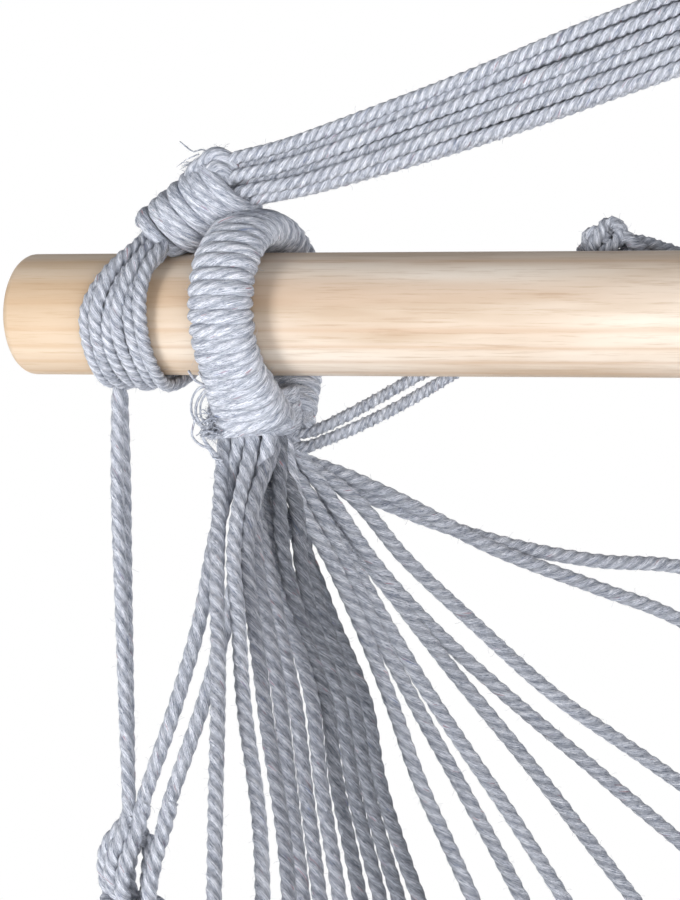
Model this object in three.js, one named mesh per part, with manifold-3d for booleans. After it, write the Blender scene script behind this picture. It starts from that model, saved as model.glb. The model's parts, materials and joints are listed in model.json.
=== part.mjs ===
// A hammock chair. A round wooden spreader bar hangs in two looped bundles of cotton cord from one
// whipped eye, and carries a sling seat on two fans of cord.
// Millimetres, +Z up, X along the bar, and the sitter faces -Y. The origin is where the hook
// bears: the inner top of the top eye.

import * as THREE from "three";
import * as BufferGeometryUtils from "three/addons/utils/BufferGeometryUtils.js";
import Module from "manifold-3d";

const wasm = await Module();
wasm.setup();

// Spreader bar
const barLength = 1000;
const barDiameter = 30;
const barEndRounding = 2.5;
const barSides = 32;
const hookDrop = 285; // from the hook's seat to the bar's axis

// Cord, and the gaps between pieces
const cordDiameter = 3.5;
const clearance = 0.3; // between pieces that touch
const wrapClearance = 0.5; // between a winding and what it is wound on
const overrun = 1; // how far a cutting or joining solid runs past a face
const cordSides = 8;

// Suspension: doubled cords round the bar, up to the top eye
const loopInset = 33; // from the bar's end to the middle of the loops
const cordsPerSide = 6;
const bightSteps = 8;
const whipStartInset = 35;
const whipStartHeight = 25; // above the bar's axis
const whipLength = 25;
const whipAngle = 30; // degrees above the bar
const openRowPitch = 7; // between rows of legs in the loose bundle
const openTurn = 30; // degrees that a pair of legs turns in the loose bundle
const openShares = [0.25, 0.8]; // where the bundle is loose, from the whipping to the top
const topBendRadius = 11;
const bendRowPitch = 4.05; // between rows of legs in the bends, where straight stretches run closer

// Windings: one unbroken cord each, eight steps to a turn
const wrapSides = 5;
const whipCordDiameter = 2.6;
const whipTurns = 5;
const whipPitch = 4.2;
const eyeWrapDiameter = 2.8;
const seatEyeTurns = 15;
const collarTurns = 3;
const collarPitch = 3.25;
const topEyeTurns = 18;
const topCollarTurns = 4;
const leastSelfGap = 0.4; // that any winding keeps to itself

// Tie-off knot of a suspension whipping
const whipKnotSize = { along: 5.5, deep: 5, high: 4.6 }; // half sizes
const whipKnotShare = 0.85; // of the whipping's length

// Top eye
const topEyeRadius = 26; // of the middle of its cords
const topCoreHalf = 6.6;
const topTangentAngle = 115; // degrees from the top, where the legs run straight
const topThroatLength = 18;
const topThroatHalf = 8.5;
const topLegTuck = 0.7; // how far the legs' sides sink into the throat
const topLegSpread = topThroatHalf - topCoreHalf - topLegTuck; // from the middle to each leg
const topWrappedLeg = 24; // straight length of each leg that is wound
const topFootShare = 0.8; // of the legs' spread, inside the throat
const topRingSteps = 18;

// Seat eyes, round the bar
const eyeInset = 67; // from the bar's end to the middle of the eye
const eyeCoreHalfWide = 5.6; // along the bar
const eyeCoreHalfDeep = 2.1;
const eyeCoreChamfer = 1.3;
const eyeLegAngle = 145; // degrees from the top, where the legs leave the ring
const eyeWrapAngle = 138; // degrees from the top, where the winding ends
const eyeLegSpread = 3.4;
const eyeFootShare = 0.9; // of that spread, inside the throat
const eyeRingSteps = 16;
const eyeThroatTop = 24; // below the bar's axis
const eyeThroatHalf = 7.5;
const eyeThroatLength = 11.2;

// Fan of seat cords, and the knots and ties beside it
const fanColumns = 5;
const fanRows = 4;
const fanRowPitch = 4.4;
const fanStraights = [3, 5, 6.5, 6, 4]; // straight down out of the throat, from the back column on
const cordToCord = cordDiameter + clearance;
const turnShare = 0.35; // half the width of a tight turn's crown, of the distance between its strands
const frontKnotPlace = { inset: 37, depth: -20, drop: 140 };
const frontKnotHalf = { wide: 8.5, high: 13 };
const frontKnotFanAngle = 50; // degrees from the knot's top, where the fan cord turns
const tieHitchPlace = { inset: 25, depth: 0 };
const barKnotPlace = { inset: 160, depth: 8.4, height: 19.2 };
const barKnotHalf = { along: 9, high: 6 };

// Seat cloth
const edgeReach = 310; // from the middle of the chair to each side edge
const seatDepth = 660;
const backCornerDrop = 75; // below the bar's axis
const seatDrop = 495; // from the back corner down to the lowest part of the edge
const sagDepth = 240; // how far the middle hangs below the side edges
const clothHalfThickness = 1.5;
const hemHalfThickness = 3;
const hemWidthShare = 0.05; // of the edge's reach
const foldDepth = 9;
const foldReachPower = 3; // how fast the folds die out towards the middle
const slitCount = 20; // on each side
const slitInsetShare = 0.02; // of the edge's reach
const slitLength = 9;
const slitWidth = 7;
const columnShares = [-1, -0.95, -0.82, -0.6, -0.32, 0, 0.32, 0.6, 0.82, 0.95, 1];

// The side edge from the back corner to the front corner: share of the seat's depth behind the
// bar, then share of the seat's drop. The sag's direction: shares of the sag's depth, back and down.
const edgeShares = [
  [0.335, 0], [0.338, 0.253], [0.31, 0.515], [0.232, 0.758], [0.088, 0.929],
  [-0.117, 1], [-0.329, 0.98], [-0.526, 0.889], [-0.662, 0.758],
];
const sagShares = [
  [0.25, 0.81], [0.4, 0.79], [0.44, 0.81], [0.33, 0.9], [0.15, 0.98],
  [0, 1], [-0.08, 0.98], [-0.125, 0.9], [-0.08, 0.79],
];

// Routes, chosen by hand: inset from the bar's end, depth behind its axis, height above it
const barToWhipRoutes = [
  { landing: 61, route: [[29.27, -7.12, 26.08], [25.09, -11.35, 19.1], [23.98, -13.22, 14.98]] },
  { landing: 67.9, route: [[30.4, -1.95, 26.81], [27.53, -4.44, 22.19], [27.57, -12.28, 12.82]] },
  { landing: 78.6, route: [[32.85, -7.2, 23.73], [31.06, -11.84, 18.88], [31.16, -16.61, 10.87]] },
  { landing: 62.6, route: [[33.11, -1.94, 23.87], [31.32, -3.66, 20.81], [32.26, -9.66, 14.93]] },
  { landing: 76.2, route: [[35.73, -6.82, 20.22], [36.11, -11.93, 15.7], [38.61, -16.7, 9.17]] },
  { landing: 62.8, route: [[36.04, -1.94, 19.69], [36, -3.12, 17.83], [39.94, -10.94, 13.46]] },
];
const backTieRoute = [
  [75.7, 9.6, -29], [86, 11.5, -26.5], [98, 14.5, -21.5], [111, 17.5, -14], [128, 20.5, -4],
  [138, 20.3, 6], [144, 16, 13.4], [148.7, 10.9, 17.8],
];
const middleTieRoute = [
  [169.4, 10, 18.4], [176, 14.5, 14.5], [190, 19.5, 8], [230, 20.5, 0], [300, 21, -8], [400, 21, -12.5], [500, 21, -14],
];

const cordRadius = cordDiameter / 2;
const barRadius = barDiameter / 2;
const halfPitch = cordToCord / 2;
const radians = Math.PI / 180;
const sideNames = { left: -1, right: 1 };
const chair = new THREE.Group();

// Materials

const cotton = new THREE.MeshStandardMaterial({ color: "#b3b8c4", roughness: 0.95, metalness: 0 });
const wrapCotton = new THREE.MeshStandardMaterial({ color: "#bfc4cf", roughness: 0.95, metalness: 0 });
const pine = new THREE.MeshStandardMaterial({ color: "#e3cba6", roughness: 0.6, metalness: 0 });
const canvas = new THREE.MeshStandardMaterial({ color: "#a9afbb", roughness: 0.95, metalness: 0 });

function addPiece(name, geometry, material) {
  const mesh = new THREE.Mesh(geometry, material);
  mesh.name = name;
  chair.add(mesh);
}

// Places

function atBar(side, inset, depth, height) {
  return new THREE.Vector3(side * (barLength / 2 - inset), depth, height - hookDrop);
}

// Paths and sections

class PointPath extends THREE.Curve {
  constructor(points) {
    super();
    this.points = points;
  }
  getPoint(share, target = new THREE.Vector3()) {
    const place = share * (this.points.length - 1);
    const index = Math.min(Math.floor(place), this.points.length - 2);
    return target.lerpVectors(this.points[index], this.points[index + 1], place - index);
  }
  getPointAt(share, target) {
    return this.getPoint(share, target);
  }
  getTangent(share, target = new THREE.Vector3()) {
    const last = this.points.length - 1;
    const index = Math.round(share * last);
    const coming = this.directionFrom(Math.max(index - 1, 0));
    const going = this.directionFrom(Math.min(index, last - 1));
    return target.addVectors(coming, going).normalize();
  }
  getTangentAt(share, target) {
    return this.getTangent(share, target);
  }
  directionFrom(index) {
    return this.points[index + 1].clone().sub(this.points[index]).normalize();
  }
}

// An octagon with its corners cut, centred: the outline of a squeezed bundle and of its winding.
function octagon(halfWide, halfDeep, chamfer) {
  const wide = halfWide - chamfer;
  const deep = halfDeep - chamfer;
  return [
    [halfWide, -deep], [halfWide, deep], [wide, halfDeep], [-wide, halfDeep],
    [-halfWide, deep], [-halfWide, -deep], [-wide, -halfDeep], [wide, -halfDeep],
  ];
}

// The same outline moved out by a gap all round.
function grownOctagon(halfWide, halfDeep, chamfer, gap) {
  const cornerShare = 2 - Math.SQRT2;
  return octagon(halfWide + gap, halfDeep + gap, chamfer + gap * cornerShare);
}

function regularChamfer(half) {
  return half * (2 - Math.SQRT2);
}

function sectionOf(outline) {
  return new THREE.Shape(outline.map(([wide, deep]) => new THREE.Vector2(wide, deep)));
}

function roundSection(radius, sides) {
  const outline = [];
  for (let index = 0; index < sides; index += 1) {
    const angle = (2 * Math.PI * index) / sides;
    outline.push([radius * Math.cos(angle), radius * Math.sin(angle)]);
  }
  return sectionOf(outline);
}

function sweep(points, section) {
  return new THREE.ExtrudeGeometry(section, {
    steps: points.length - 1,
    bevelEnabled: false,
    extrudePath: new PointPath(points),
  });
}

function cord(points) {
  return sweep(points, roundSection(cordRadius, cordSides));
}

// Solids that are joined or cut

function toSolid(geometry) {
  const bare = geometry.clone();
  bare.deleteAttribute("normal");
  bare.deleteAttribute("uv");
  const merged = BufferGeometryUtils.mergeVertices(bare, clearance / 100);
  return new wasm.Manifold(new wasm.Mesh({
    numProp: 3,
    vertProperties: new Float32Array(merged.attributes.position.array),
    triVerts: new Uint32Array(merged.index.array),
  }));
}

function toGeometry(solid) {
  const mesh = solid.getMesh();
  const geometry = new THREE.BufferGeometry();
  geometry.setAttribute("position", new THREE.BufferAttribute(mesh.vertProperties, 3));
  geometry.setIndex(new THREE.BufferAttribute(mesh.triVerts, 1));
  geometry.computeVertexNormals();
  return geometry;
}

// Windings

// One unbroken cord wound along a path. Each path place gives its middle and the two directions
// of the outline round it. The ends run straight for one diameter.
function winding(placeAt, length, turns, outline, diameter) {
  const steps = turns * outline.length;
  const points = [];
  for (let step = 0; step <= steps; step += 1) {
    const { middle, wideWay, deepWay } = placeAt((length * step) / steps);
    const [wide, deep] = outline[step % outline.length];
    points.push(middle.clone().addScaledVector(wideWay, wide).addScaledVector(deepWay, deep));
  }
  const first = points[0].clone().sub(points[1]).normalize();
  const last = points[steps].clone().sub(points[steps - 1]).normalize();
  points.unshift(points[0].clone().addScaledVector(first, diameter));
  points.push(points[points.length - 1].clone().addScaledVector(last, diameter));
  return points;
}

function wound(name, points, diameter) {
  const gap = selfGap(points, diameter);
  console.log(`${name}: least gap to itself ${gap.toFixed(2)} mm`);
  if (gap < leastSelfGap) {
    console.log(`${name}: the gap is under ${leastSelfGap} mm`);
  }
  addPiece(name, sweep(points, roundSection(diameter / 2, wrapSides)), wrapCotton);
}

// The least gap between stretches of a winding that lie at least half a turn apart, on points.
function selfGap(points, diameter) {
  const samples = [];
  const samplesPerStep = 6;
  for (let step = 0; step < points.length - 1; step += 1) {
    for (let part = 0; part < samplesPerStep; part += 1) {
      samples.push(points[step].clone().lerp(points[step + 1], part / samplesPerStep));
    }
  }
  let least = Infinity;
  for (let one = 0; one < samples.length; one += 1) {
    for (let two = one + 4 * samplesPerStep; two < samples.length; two += 1) {
      least = Math.min(least, samples[one].distanceTo(samples[two]));
    }
  }
  return least - diameter;
}

// Spreader bar: a turned dowel with rounded ends.

function spreaderBar() {
  const half = barLength / 2;
  const profile = [new THREE.Vector2(0, -half), new THREE.Vector2(barRadius - barEndRounding, -half)];
  for (const angle of [-45, 0]) {
    profile.push(new THREE.Vector2(
      barRadius - barEndRounding + barEndRounding * Math.cos(angle * radians),
      -half + barEndRounding + barEndRounding * Math.sin(angle * radians),
    ));
  }
  const upper = profile.map((point) => new THREE.Vector2(point.x, -point.y)).reverse();
  const geometry = new THREE.LatheGeometry([...profile, ...upper], barSides);
  geometry.rotateZ(-Math.PI / 2);
  geometry.translate(0, 0, -hookDrop);
  addPiece("spreader_bar", geometry, pine);
}

// Top eye: the middles of all the suspension cords, bound into one eye for the hook.

const topEyeOutline = grownOctagon(
  topCoreHalf, topCoreHalf, regularChamfer(topCoreHalf), wrapClearance + eyeWrapDiameter / 2,
);
const topEyeMiddle = -(topEyeRadius - topCoreHalf - wrapClearance - eyeWrapDiameter);
const topTangent = {
  across: topEyeRadius * Math.sin(topTangentAngle * radians),
  height: topEyeMiddle + topEyeRadius * Math.cos(topTangentAngle * radians),
};
const topLegLength = (topTangent.across - topLegSpread) / -Math.cos(topTangentAngle * radians);
const topThroatTop = topTangent.height - topLegLength * Math.sin(topTangentAngle * radians);
const topPivotHeight = topThroatTop - topThroatLength;

// The middle of the eye's cords at a distance along them, from one throat end to the other.
function topEyePlace(distance) {
  const arc = 2 * topTangentAngle * radians * topEyeRadius;
  const legway = distance < topLegLength;
  const beyond = distance - topLegLength - arc;
  let middle;
  let angle;
  if (legway || beyond > 0) {
    const way = legway ? -1 : 1;
    const along = legway ? topLegLength - distance : beyond;
    angle = way * topTangentAngle * radians;
    middle = new THREE.Vector3(
      way * (topTangent.across + along * Math.cos(topTangentAngle * radians)),
      0,
      topTangent.height - along * Math.sin(topTangentAngle * radians),
    );
  } else {
    angle = (distance - topLegLength) / topEyeRadius - topTangentAngle * radians;
    middle = new THREE.Vector3(
      topEyeRadius * Math.sin(angle), 0, topEyeMiddle + topEyeRadius * Math.cos(angle),
    );
  }
  return {
    middle,
    wideWay: new THREE.Vector3(0, 1, 0),
    deepWay: new THREE.Vector3(Math.sin(angle), 0, Math.cos(angle)),
  };
}

function topEye() {
  const arc = 2 * topTangentAngle * radians * topEyeRadius;
  const whole = arc + 2 * topLegLength;
  const stations = [0, topLegLength / 2];
  for (let step = 0; step <= topRingSteps; step += 1) {
    stations.push(topLegLength + (arc * step) / topRingSteps);
  }
  stations.push(whole - topLegLength / 2, whole);
  const middles = stations.map((distance) => topEyePlace(distance).middle);
  const sunk = topThroatLength / 2;
  const foot = topLegSpread * topFootShare;
  middles.unshift(new THREE.Vector3(-foot, 0, topThroatTop - sunk));
  middles.push(new THREE.Vector3(foot, 0, topThroatTop - sunk));
  const core = octagon(topCoreHalf, topCoreHalf, regularChamfer(topCoreHalf));
  const loop = toSolid(sweep(middles, sectionOf(core)));

  const profile = [new THREE.Vector2(0, topThroatTop), new THREE.Vector2(topThroatHalf, topThroatTop)];
  for (const angle of [0, 30, 60]) {
    profile.push(new THREE.Vector2(
      topThroatHalf * Math.cos(angle * radians),
      topPivotHeight - topThroatHalf * Math.sin(angle * radians),
    ));
  }
  profile.push(new THREE.Vector2(0, topPivotHeight - topThroatHalf));
  const throat = new THREE.LatheGeometry(profile.reverse(), cordSides * 2);
  throat.rotateX(Math.PI / 2);
  addPiece("top_eye_core", toGeometry(loop.add(toSolid(throat))), cotton);

  const start = topLegLength - topWrappedLeg;
  const wrap = winding(
    (distance) => topEyePlace(start + distance),
    arc + 2 * topWrappedLeg, topEyeTurns, topEyeOutline, eyeWrapDiameter,
  );
  wound("top_eye_wrap", wrap, eyeWrapDiameter);

  const collarOutline = grownOctagon(
    topThroatHalf, topThroatHalf, regularChamfer(topThroatHalf), wrapClearance + eyeWrapDiameter / 2,
  );
  const collarLength = topCollarTurns * collarPitch;
  const collar = winding(
    (distance) => ({
      middle: new THREE.Vector3(0, 0, topPivotHeight + eyeWrapDiameter / 2 + distance),
      wideWay: new THREE.Vector3(1, 0, 0),
      deepWay: new THREE.Vector3(0, 1, 0),
    }),
    collarLength, topCollarTurns, collarOutline, eyeWrapDiameter,
  );
  wound("top_eye_collar", collar, eyeWrapDiameter);
}

// Suspension: each doubled cord goes from the top, down through the whipping, round the bar and
// back up. Legs stand in three rows of four, and each row holds a front pair and a back pair.

const whipWay = { along: Math.cos(whipAngle * radians), up: Math.sin(whipAngle * radians) };

// Stations of the bundle, from the top down: its middle, the way its rows stack, and how loose.
function bundleStations(side) {
  const topEnd = topPivotHeight - topThroatHalf - clearance;
  const column = halfPitch + bendRowPitch;
  const bendMiddle = { x: side * (column + topBendRadius), z: topEnd };
  const whipEnd = whipPlace(side, whipLength).middle;
  const across = side * (whipEnd.x - bendMiddle.x);
  const rise = bendMiddle.z - whipEnd.z;
  const reach = Math.hypot(across, rise);
  const heading = Math.atan2(rise, across) - Math.asin(topBendRadius / reach);
  const stations = [];
  for (const share of [1, 0.5, 0]) {
    const angle = heading + (Math.PI / 2 - heading) * share;
    const rowWay = new THREE.Vector3(side * Math.sin(angle), 0, Math.cos(angle));
    const middle = new THREE.Vector3(bendMiddle.x, 0, bendMiddle.z)
      .addScaledVector(rowWay, -topBendRadius);
    stations.push({ middle, rowWay, rowPitch: bendRowPitch, turn: 0 });
  }
  const bendEnd = stations[2];
  for (const share of [...openShares].reverse()) {
    stations.push({
      middle: new THREE.Vector3().lerpVectors(whipEnd, bendEnd.middle, share),
      rowWay: bendEnd.rowWay,
      rowPitch: openRowPitch,
      turn: openTurn * radians,
    });
  }
  for (const distance of [whipLength, 0]) {
    const { middle, wideWay } = whipPlace(side, distance);
    stations.push({ middle, rowWay: wideWay, rowPitch: cordToCord, turn: 0 });
  }
  return stations;
}

function whipPlace(side, distance) {
  return {
    middle: atBar(
      side, whipStartInset + distance * whipWay.along, 0, whipStartHeight + distance * whipWay.up,
    ),
    wideWay: new THREE.Vector3(side * whipWay.up, 0, whipWay.along),
    deepWay: new THREE.Vector3(0, 1, 0),
  };
}

function legPoint(station, index, layer) {
  const pair = Math.floor(index / 2);
  const outer = index % 2 === 0;
  const turned = halfPitch * Math.sin(station.turn) * (outer ? 1 : -1);
  const row = (1 - pair) * station.rowPitch + turned;
  const column = halfPitch * (outer ? 1 + 2 * Math.cos(station.turn) : 1);
  const point = station.middle.clone().addScaledVector(station.rowWay, row);
  point.y += layer * column;
  return point;
}

// The round stretch keeps its chords clear of the bar.
const bightRadius = (barRadius + clearance + cordRadius)
  / Math.cos((250 * radians) / bightSteps / 2);
const bightOuterRadius = bightRadius + cordRadius;

function suspensionCord(side, index) {
  const inset = loopInset + (index - (cordsPerSide - 1) / 2) * cordToCord;
  const onBar = atBar(side, inset, 0, 0);
  const { landing, route } = barToWhipRoutes[index];
  const front = bundleStations(side).map((station) => legPoint(station, index, -1));
  front.push(...route.map(([legInset, depth, height]) => atBar(side, legInset, depth, height)));

  const bight = [];
  for (let step = 0; step <= bightSteps; step += 1) {
    const angle = (landing + ((360 - 2 * landing) * step) / bightSteps) * radians;
    bight.push(new THREE.Vector3(
      onBar.x, -bightRadius * Math.sin(angle), onBar.z + bightRadius * Math.cos(angle),
    ));
  }
  const back = front.map((point) => new THREE.Vector3(point.x, -point.y, point.z)).reverse();
  return cord([...front, ...bight, ...back]);
}

function suspension(sideName) {
  const side = sideNames[sideName];
  for (let index = 0; index < cordsPerSide; index += 1) {
    addPiece(`suspension_cord_${sideName}_${index + 1}`, suspensionCord(side, index), cotton);
  }
  const legsOutline = grownOctagon(
    cordToCord, 3 * halfPitch, 0, cordRadius + wrapClearance + whipCordDiameter / 2,
  );
  const woundLength = whipTurns * whipPitch;
  const start = (whipLength - woundLength) / 2;
  const points = winding(
    (distance) => whipPlace(side, start + distance),
    woundLength, whipTurns, legsOutline, whipCordDiameter,
  );
  wound(`suspension_whipping_${sideName}`, points, whipCordDiameter);

  const { middle, wideWay } = whipPlace(side, whipLength * whipKnotShare);
  const lift = legsOutline[0][0] + whipCordDiameter / 2 + clearance + whipKnotSize.high;
  const knot = new THREE.SphereGeometry(1, cordSides, cordSides - 2);
  knot.rotateX(Math.PI / 2);
  knot.scale(whipKnotSize.along, whipKnotSize.deep, whipKnotSize.high);
  knot.rotateY(side * whipAngle * radians);
  const place = middle.addScaledVector(wideWay, lift);
  knot.translate(place.x, place.y, place.z);
  addPiece(`suspension_knot_${sideName}`, knot, cotton);
}

// Seat eye: the middles of the seat cords, bound into a ring round the bar with a throat below.

const eyeRingRadius = barRadius + clearance + eyeWrapDiameter + wrapClearance + eyeCoreHalfDeep;

function eyePlace(side, angle) {
  return {
    middle: atBar(
      side, eyeInset, -eyeRingRadius * Math.sin(angle), eyeRingRadius * Math.cos(angle),
    ),
    wideWay: new THREE.Vector3(1, 0, 0),
    deepWay: new THREE.Vector3(0, -Math.sin(angle), Math.cos(angle)),
  };
}

function seatEye(sideName) {
  const side = sideNames[sideName];
  const throatEnd = eyeThroatTop + eyeThroatLength;
  const middles = [];
  for (let step = 0; step <= eyeRingSteps; step += 1) {
    const angle = eyeLegAngle * radians * ((2 * step) / eyeRingSteps - 1);
    middles.push(eyePlace(side, angle).middle);
  }
  const legEnd = (way) => atBar(side, eyeInset, way * eyeLegSpread, -eyeThroatTop);
  const footDepth = eyeLegSpread * eyeFootShare; // not quite upright, so that the flat side stays level
  const legFoot = (way) => atBar(side, eyeInset, way * footDepth, -(eyeThroatTop + throatEnd) / 2);
  middles.unshift(legFoot(1), legEnd(1));
  middles.push(legEnd(-1), legFoot(-1));
  const core = sectionOf(octagon(eyeCoreHalfWide, eyeCoreHalfDeep, eyeCoreChamfer));
  const ring = toSolid(sweep(middles, core));
  const throatOutline = octagon(eyeThroatHalf, eyeThroatHalf, regularChamfer(eyeThroatHalf));
  const throat = new THREE.ExtrudeGeometry(
    sectionOf(throatOutline), { depth: eyeThroatLength, bevelEnabled: false },
  );
  const foot = atBar(side, eyeInset, 0, -throatEnd);
  throat.translate(foot.x, foot.y, foot.z);
  addPiece(`seat_eye_core_${sideName}`, toGeometry(ring.add(toSolid(throat))), cotton);

  const wrapOutline = grownOctagon(
    eyeCoreHalfWide, eyeCoreHalfDeep, eyeCoreChamfer, wrapClearance + eyeWrapDiameter / 2,
  );
  const wrapLength = 2 * eyeWrapAngle * radians * eyeRingRadius;
  const wrap = winding(
    (distance) => eyePlace(side, distance / eyeRingRadius - eyeWrapAngle * radians),
    wrapLength, seatEyeTurns, wrapOutline, eyeWrapDiameter,
  );
  wound(`seat_eye_wrap_${sideName}`, wrap, eyeWrapDiameter);

  const collarOutline = grownOctagon(
    eyeThroatHalf, eyeThroatHalf, regularChamfer(eyeThroatHalf), wrapClearance + eyeWrapDiameter / 2,
  );
  const collar = winding(
    (distance) => ({
      middle: atBar(side, eyeInset, 0, -eyeThroatTop - distance),
      wideWay: new THREE.Vector3(1, 0, 0),
      deepWay: new THREE.Vector3(0, 1, 0),
    }),
    collarTurns * collarPitch, collarTurns, collarOutline, eyeWrapDiameter,
  );
  wound(`seat_collar_${sideName}`, collar, eyeWrapDiameter);
}

// Seat cloth: a sling whose side edges follow the outline, and whose middle hangs below them.

function shareCurve(shares, backSize, dropSize, firstDrop) {
  return new THREE.CatmullRomCurve3(shares.map(([back, drop]) => new THREE.Vector3(
    0, back * backSize, -firstDrop - drop * dropSize,
  )));
}

const edgeCurve = shareCurve(edgeShares, seatDepth, seatDrop, hookDrop + backCornerDrop);
const sagCurve = shareCurve(sagShares, sagDepth, sagDepth, 0);

// The smooth cloth at a share of the way to the front, and a share of the way to a side edge.
function smoothCloth(forward, across) {
  const point = edgeCurve.getPoint(forward);
  point.addScaledVector(sagCurve.getPoint(forward), 1 - across * across);
  point.x = across * edgeReach;
  return point;
}

function clothFrame(forward, across) {
  const small = 0.001;
  const from = smoothCloth(Math.max(forward - small, 0), across);
  const to = smoothCloth(Math.min(forward + small, 1), across);
  const forwardWay = to.sub(from).normalize();
  const acrossWay = smoothCloth(forward, across + small)
    .sub(smoothCloth(forward, across - small)).normalize();
  const upWay = new THREE.Vector3().crossVectors(acrossWay, forwardWay).normalize().negate();
  return { forwardWay, acrossWay, upWay };
}

// The cloth with its folds: lifted where a cord runs under the hem, and let down in between.
function clothPoint(forward, across) {
  const { upWay } = clothFrame(forward, across);
  const wave = Math.abs(((forward * slitCount) / 2) % 1 - 0.5) * 4 - 1;
  const lift = -wave * foldDepth * Math.abs(across) ** foldReachPower;
  return smoothCloth(forward, across).addScaledVector(upWay, lift);
}

function clothSheet() {
  const rows = slitCount;
  const columns = columnShares.length;
  const positions = [];
  const layers = [];
  for (const face of [1, -1]) {
    const layer = [];
    for (let row = 0; row <= rows; row += 1) {
      layer.push(columnShares.map((across) => {
        const { upWay } = clothFrame(row / rows, across);
        const hem = Math.abs(across) > 1 - hemWidthShare - columnTolerance;
        const half = hem ? hemHalfThickness : clothHalfThickness;
        const point = clothPoint(row / rows, across).addScaledVector(upWay, face * half);
        positions.push(point.x, point.y, point.z);
        return positions.length / 3 - 1;
      }));
    }
    layers.push(layer);
  }
  const faces = [];
  const quad = (a, b, c, d) => faces.push(a, b, c, a, c, d);
  const [top, under] = layers;
  for (let row = 0; row < rows; row += 1) {
    for (let column = 0; column < columns - 1; column += 1) {
      quad(top[row][column], top[row + 1][column], top[row + 1][column + 1], top[row][column + 1]);
      quad(
        under[row][column], under[row][column + 1], under[row + 1][column + 1], under[row + 1][column],
      );
    }
    const last = columns - 1;
    quad(top[row][0], under[row][0], under[row + 1][0], top[row + 1][0]);
    quad(top[row + 1][last], under[row + 1][last], under[row][last], top[row][last]);
  }
  for (let column = 0; column < columns - 1; column += 1) {
    quad(top[0][column + 1], under[0][column + 1], under[0][column], top[0][column]);
    quad(top[rows][column], under[rows][column], under[rows][column + 1], top[rows][column + 1]);
  }
  const geometry = new THREE.BufferGeometry();
  geometry.setAttribute("position", new THREE.Float32BufferAttribute(positions, 3));
  geometry.setIndex(faces);
  return geometry;
}

const columnTolerance = 0.001;

function slitPlace(side, slit) {
  const forward = (slit + 0.5) / slitCount;
  const across = side * (1 - slitInsetShare);
  const point = clothPoint(forward, across);
  return { point, ...clothFrame(forward, across) };
}

function seatCloth() {
  let solid = toSolid(clothSheet());
  for (const side of Object.values(sideNames)) {
    for (let slit = 0; slit < slitCount; slit += 1) {
      const { point, forwardWay, acrossWay, upWay } = slitPlace(side, slit);
      const cutter = new THREE.BoxGeometry(
        slitLength, slitWidth, 2 * (hemHalfThickness + foldDepth + overrun),
      );
      const square = new THREE.Vector3().crossVectors(upWay, forwardWay).normalize();
      cutter.applyMatrix4(new THREE.Matrix4().makeBasis(forwardWay, square, upWay).setPosition(point));
      solid = solid.subtract(toSolid(cutter));
    }
  }
  addPiece("seat_cloth", toGeometry(solid), canvas);
}

// Fan: each doubled cord leaves the throat, goes down through one slit, runs under the hem and
// comes up through the next slit.

// Legs are numbered from the back column on, and from the bar's end inwards in each column.
const knotLegs = [16, 17];
const seatLegs = [...Array(slitCount).keys()].filter((leg) => !knotLegs.includes(leg));

function fanStart(side, leg) {
  const column = Math.floor(leg / fanRows);
  const row = leg % fanRows;
  const inset = eyeInset + (row - (fanRows - 1) / 2) * fanRowPitch;
  const depth = ((fanColumns - 1) / 2 - column) * cordToCord;
  const drop = eyeThroatTop + eyeThroatLength + clearance;
  return [
    atBar(side, inset, depth, -drop),
    atBar(side, inset, depth, -drop - fanStraights[column]),
  ];
}

function underHem(side, firstSlit) {
  const reach = hemHalfThickness + 2 * clearance + cordRadius;
  const route = [];
  for (const slit of [firstSlit, firstSlit + 1]) {
    const { point, upWay } = slitPlace(side, slit);
    const above = point.clone().addScaledVector(upWay, reach);
    const below = point.clone().addScaledVector(upWay, -reach);
    route.push(...(slit === firstSlit ? [above, below] : [below, above]));
  }
  const forward = (firstSlit + 1) / slitCount;
  const across = side * (1 - slitInsetShare);
  const middle = clothPoint(forward, across)
    .addScaledVector(clothFrame(forward, across).upWay, -reach);
  route.splice(2, 0, middle);
  return route;
}

function fan(sideName) {
  const side = sideNames[sideName];
  for (let pair = 0; pair < slitCount / 2 - 1; pair += 1) {
    const going = fanStart(side, seatLegs[2 * pair]);
    const coming = fanStart(side, seatLegs[2 * pair + 1]).reverse();
    const route = [...going, ...underHem(side, 2 * pair), ...coming];
    addPiece(`fan_cord_${sideName}_${String(pair + 1).padStart(2, "0")}`, cord(route), cotton);
  }
  frontTies(sideName, side);
}

// Front ties: the last fan cord and the cord hung from the bar meet in a knot, and a third runs on
// from the knot to the front corner of the seat.

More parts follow.
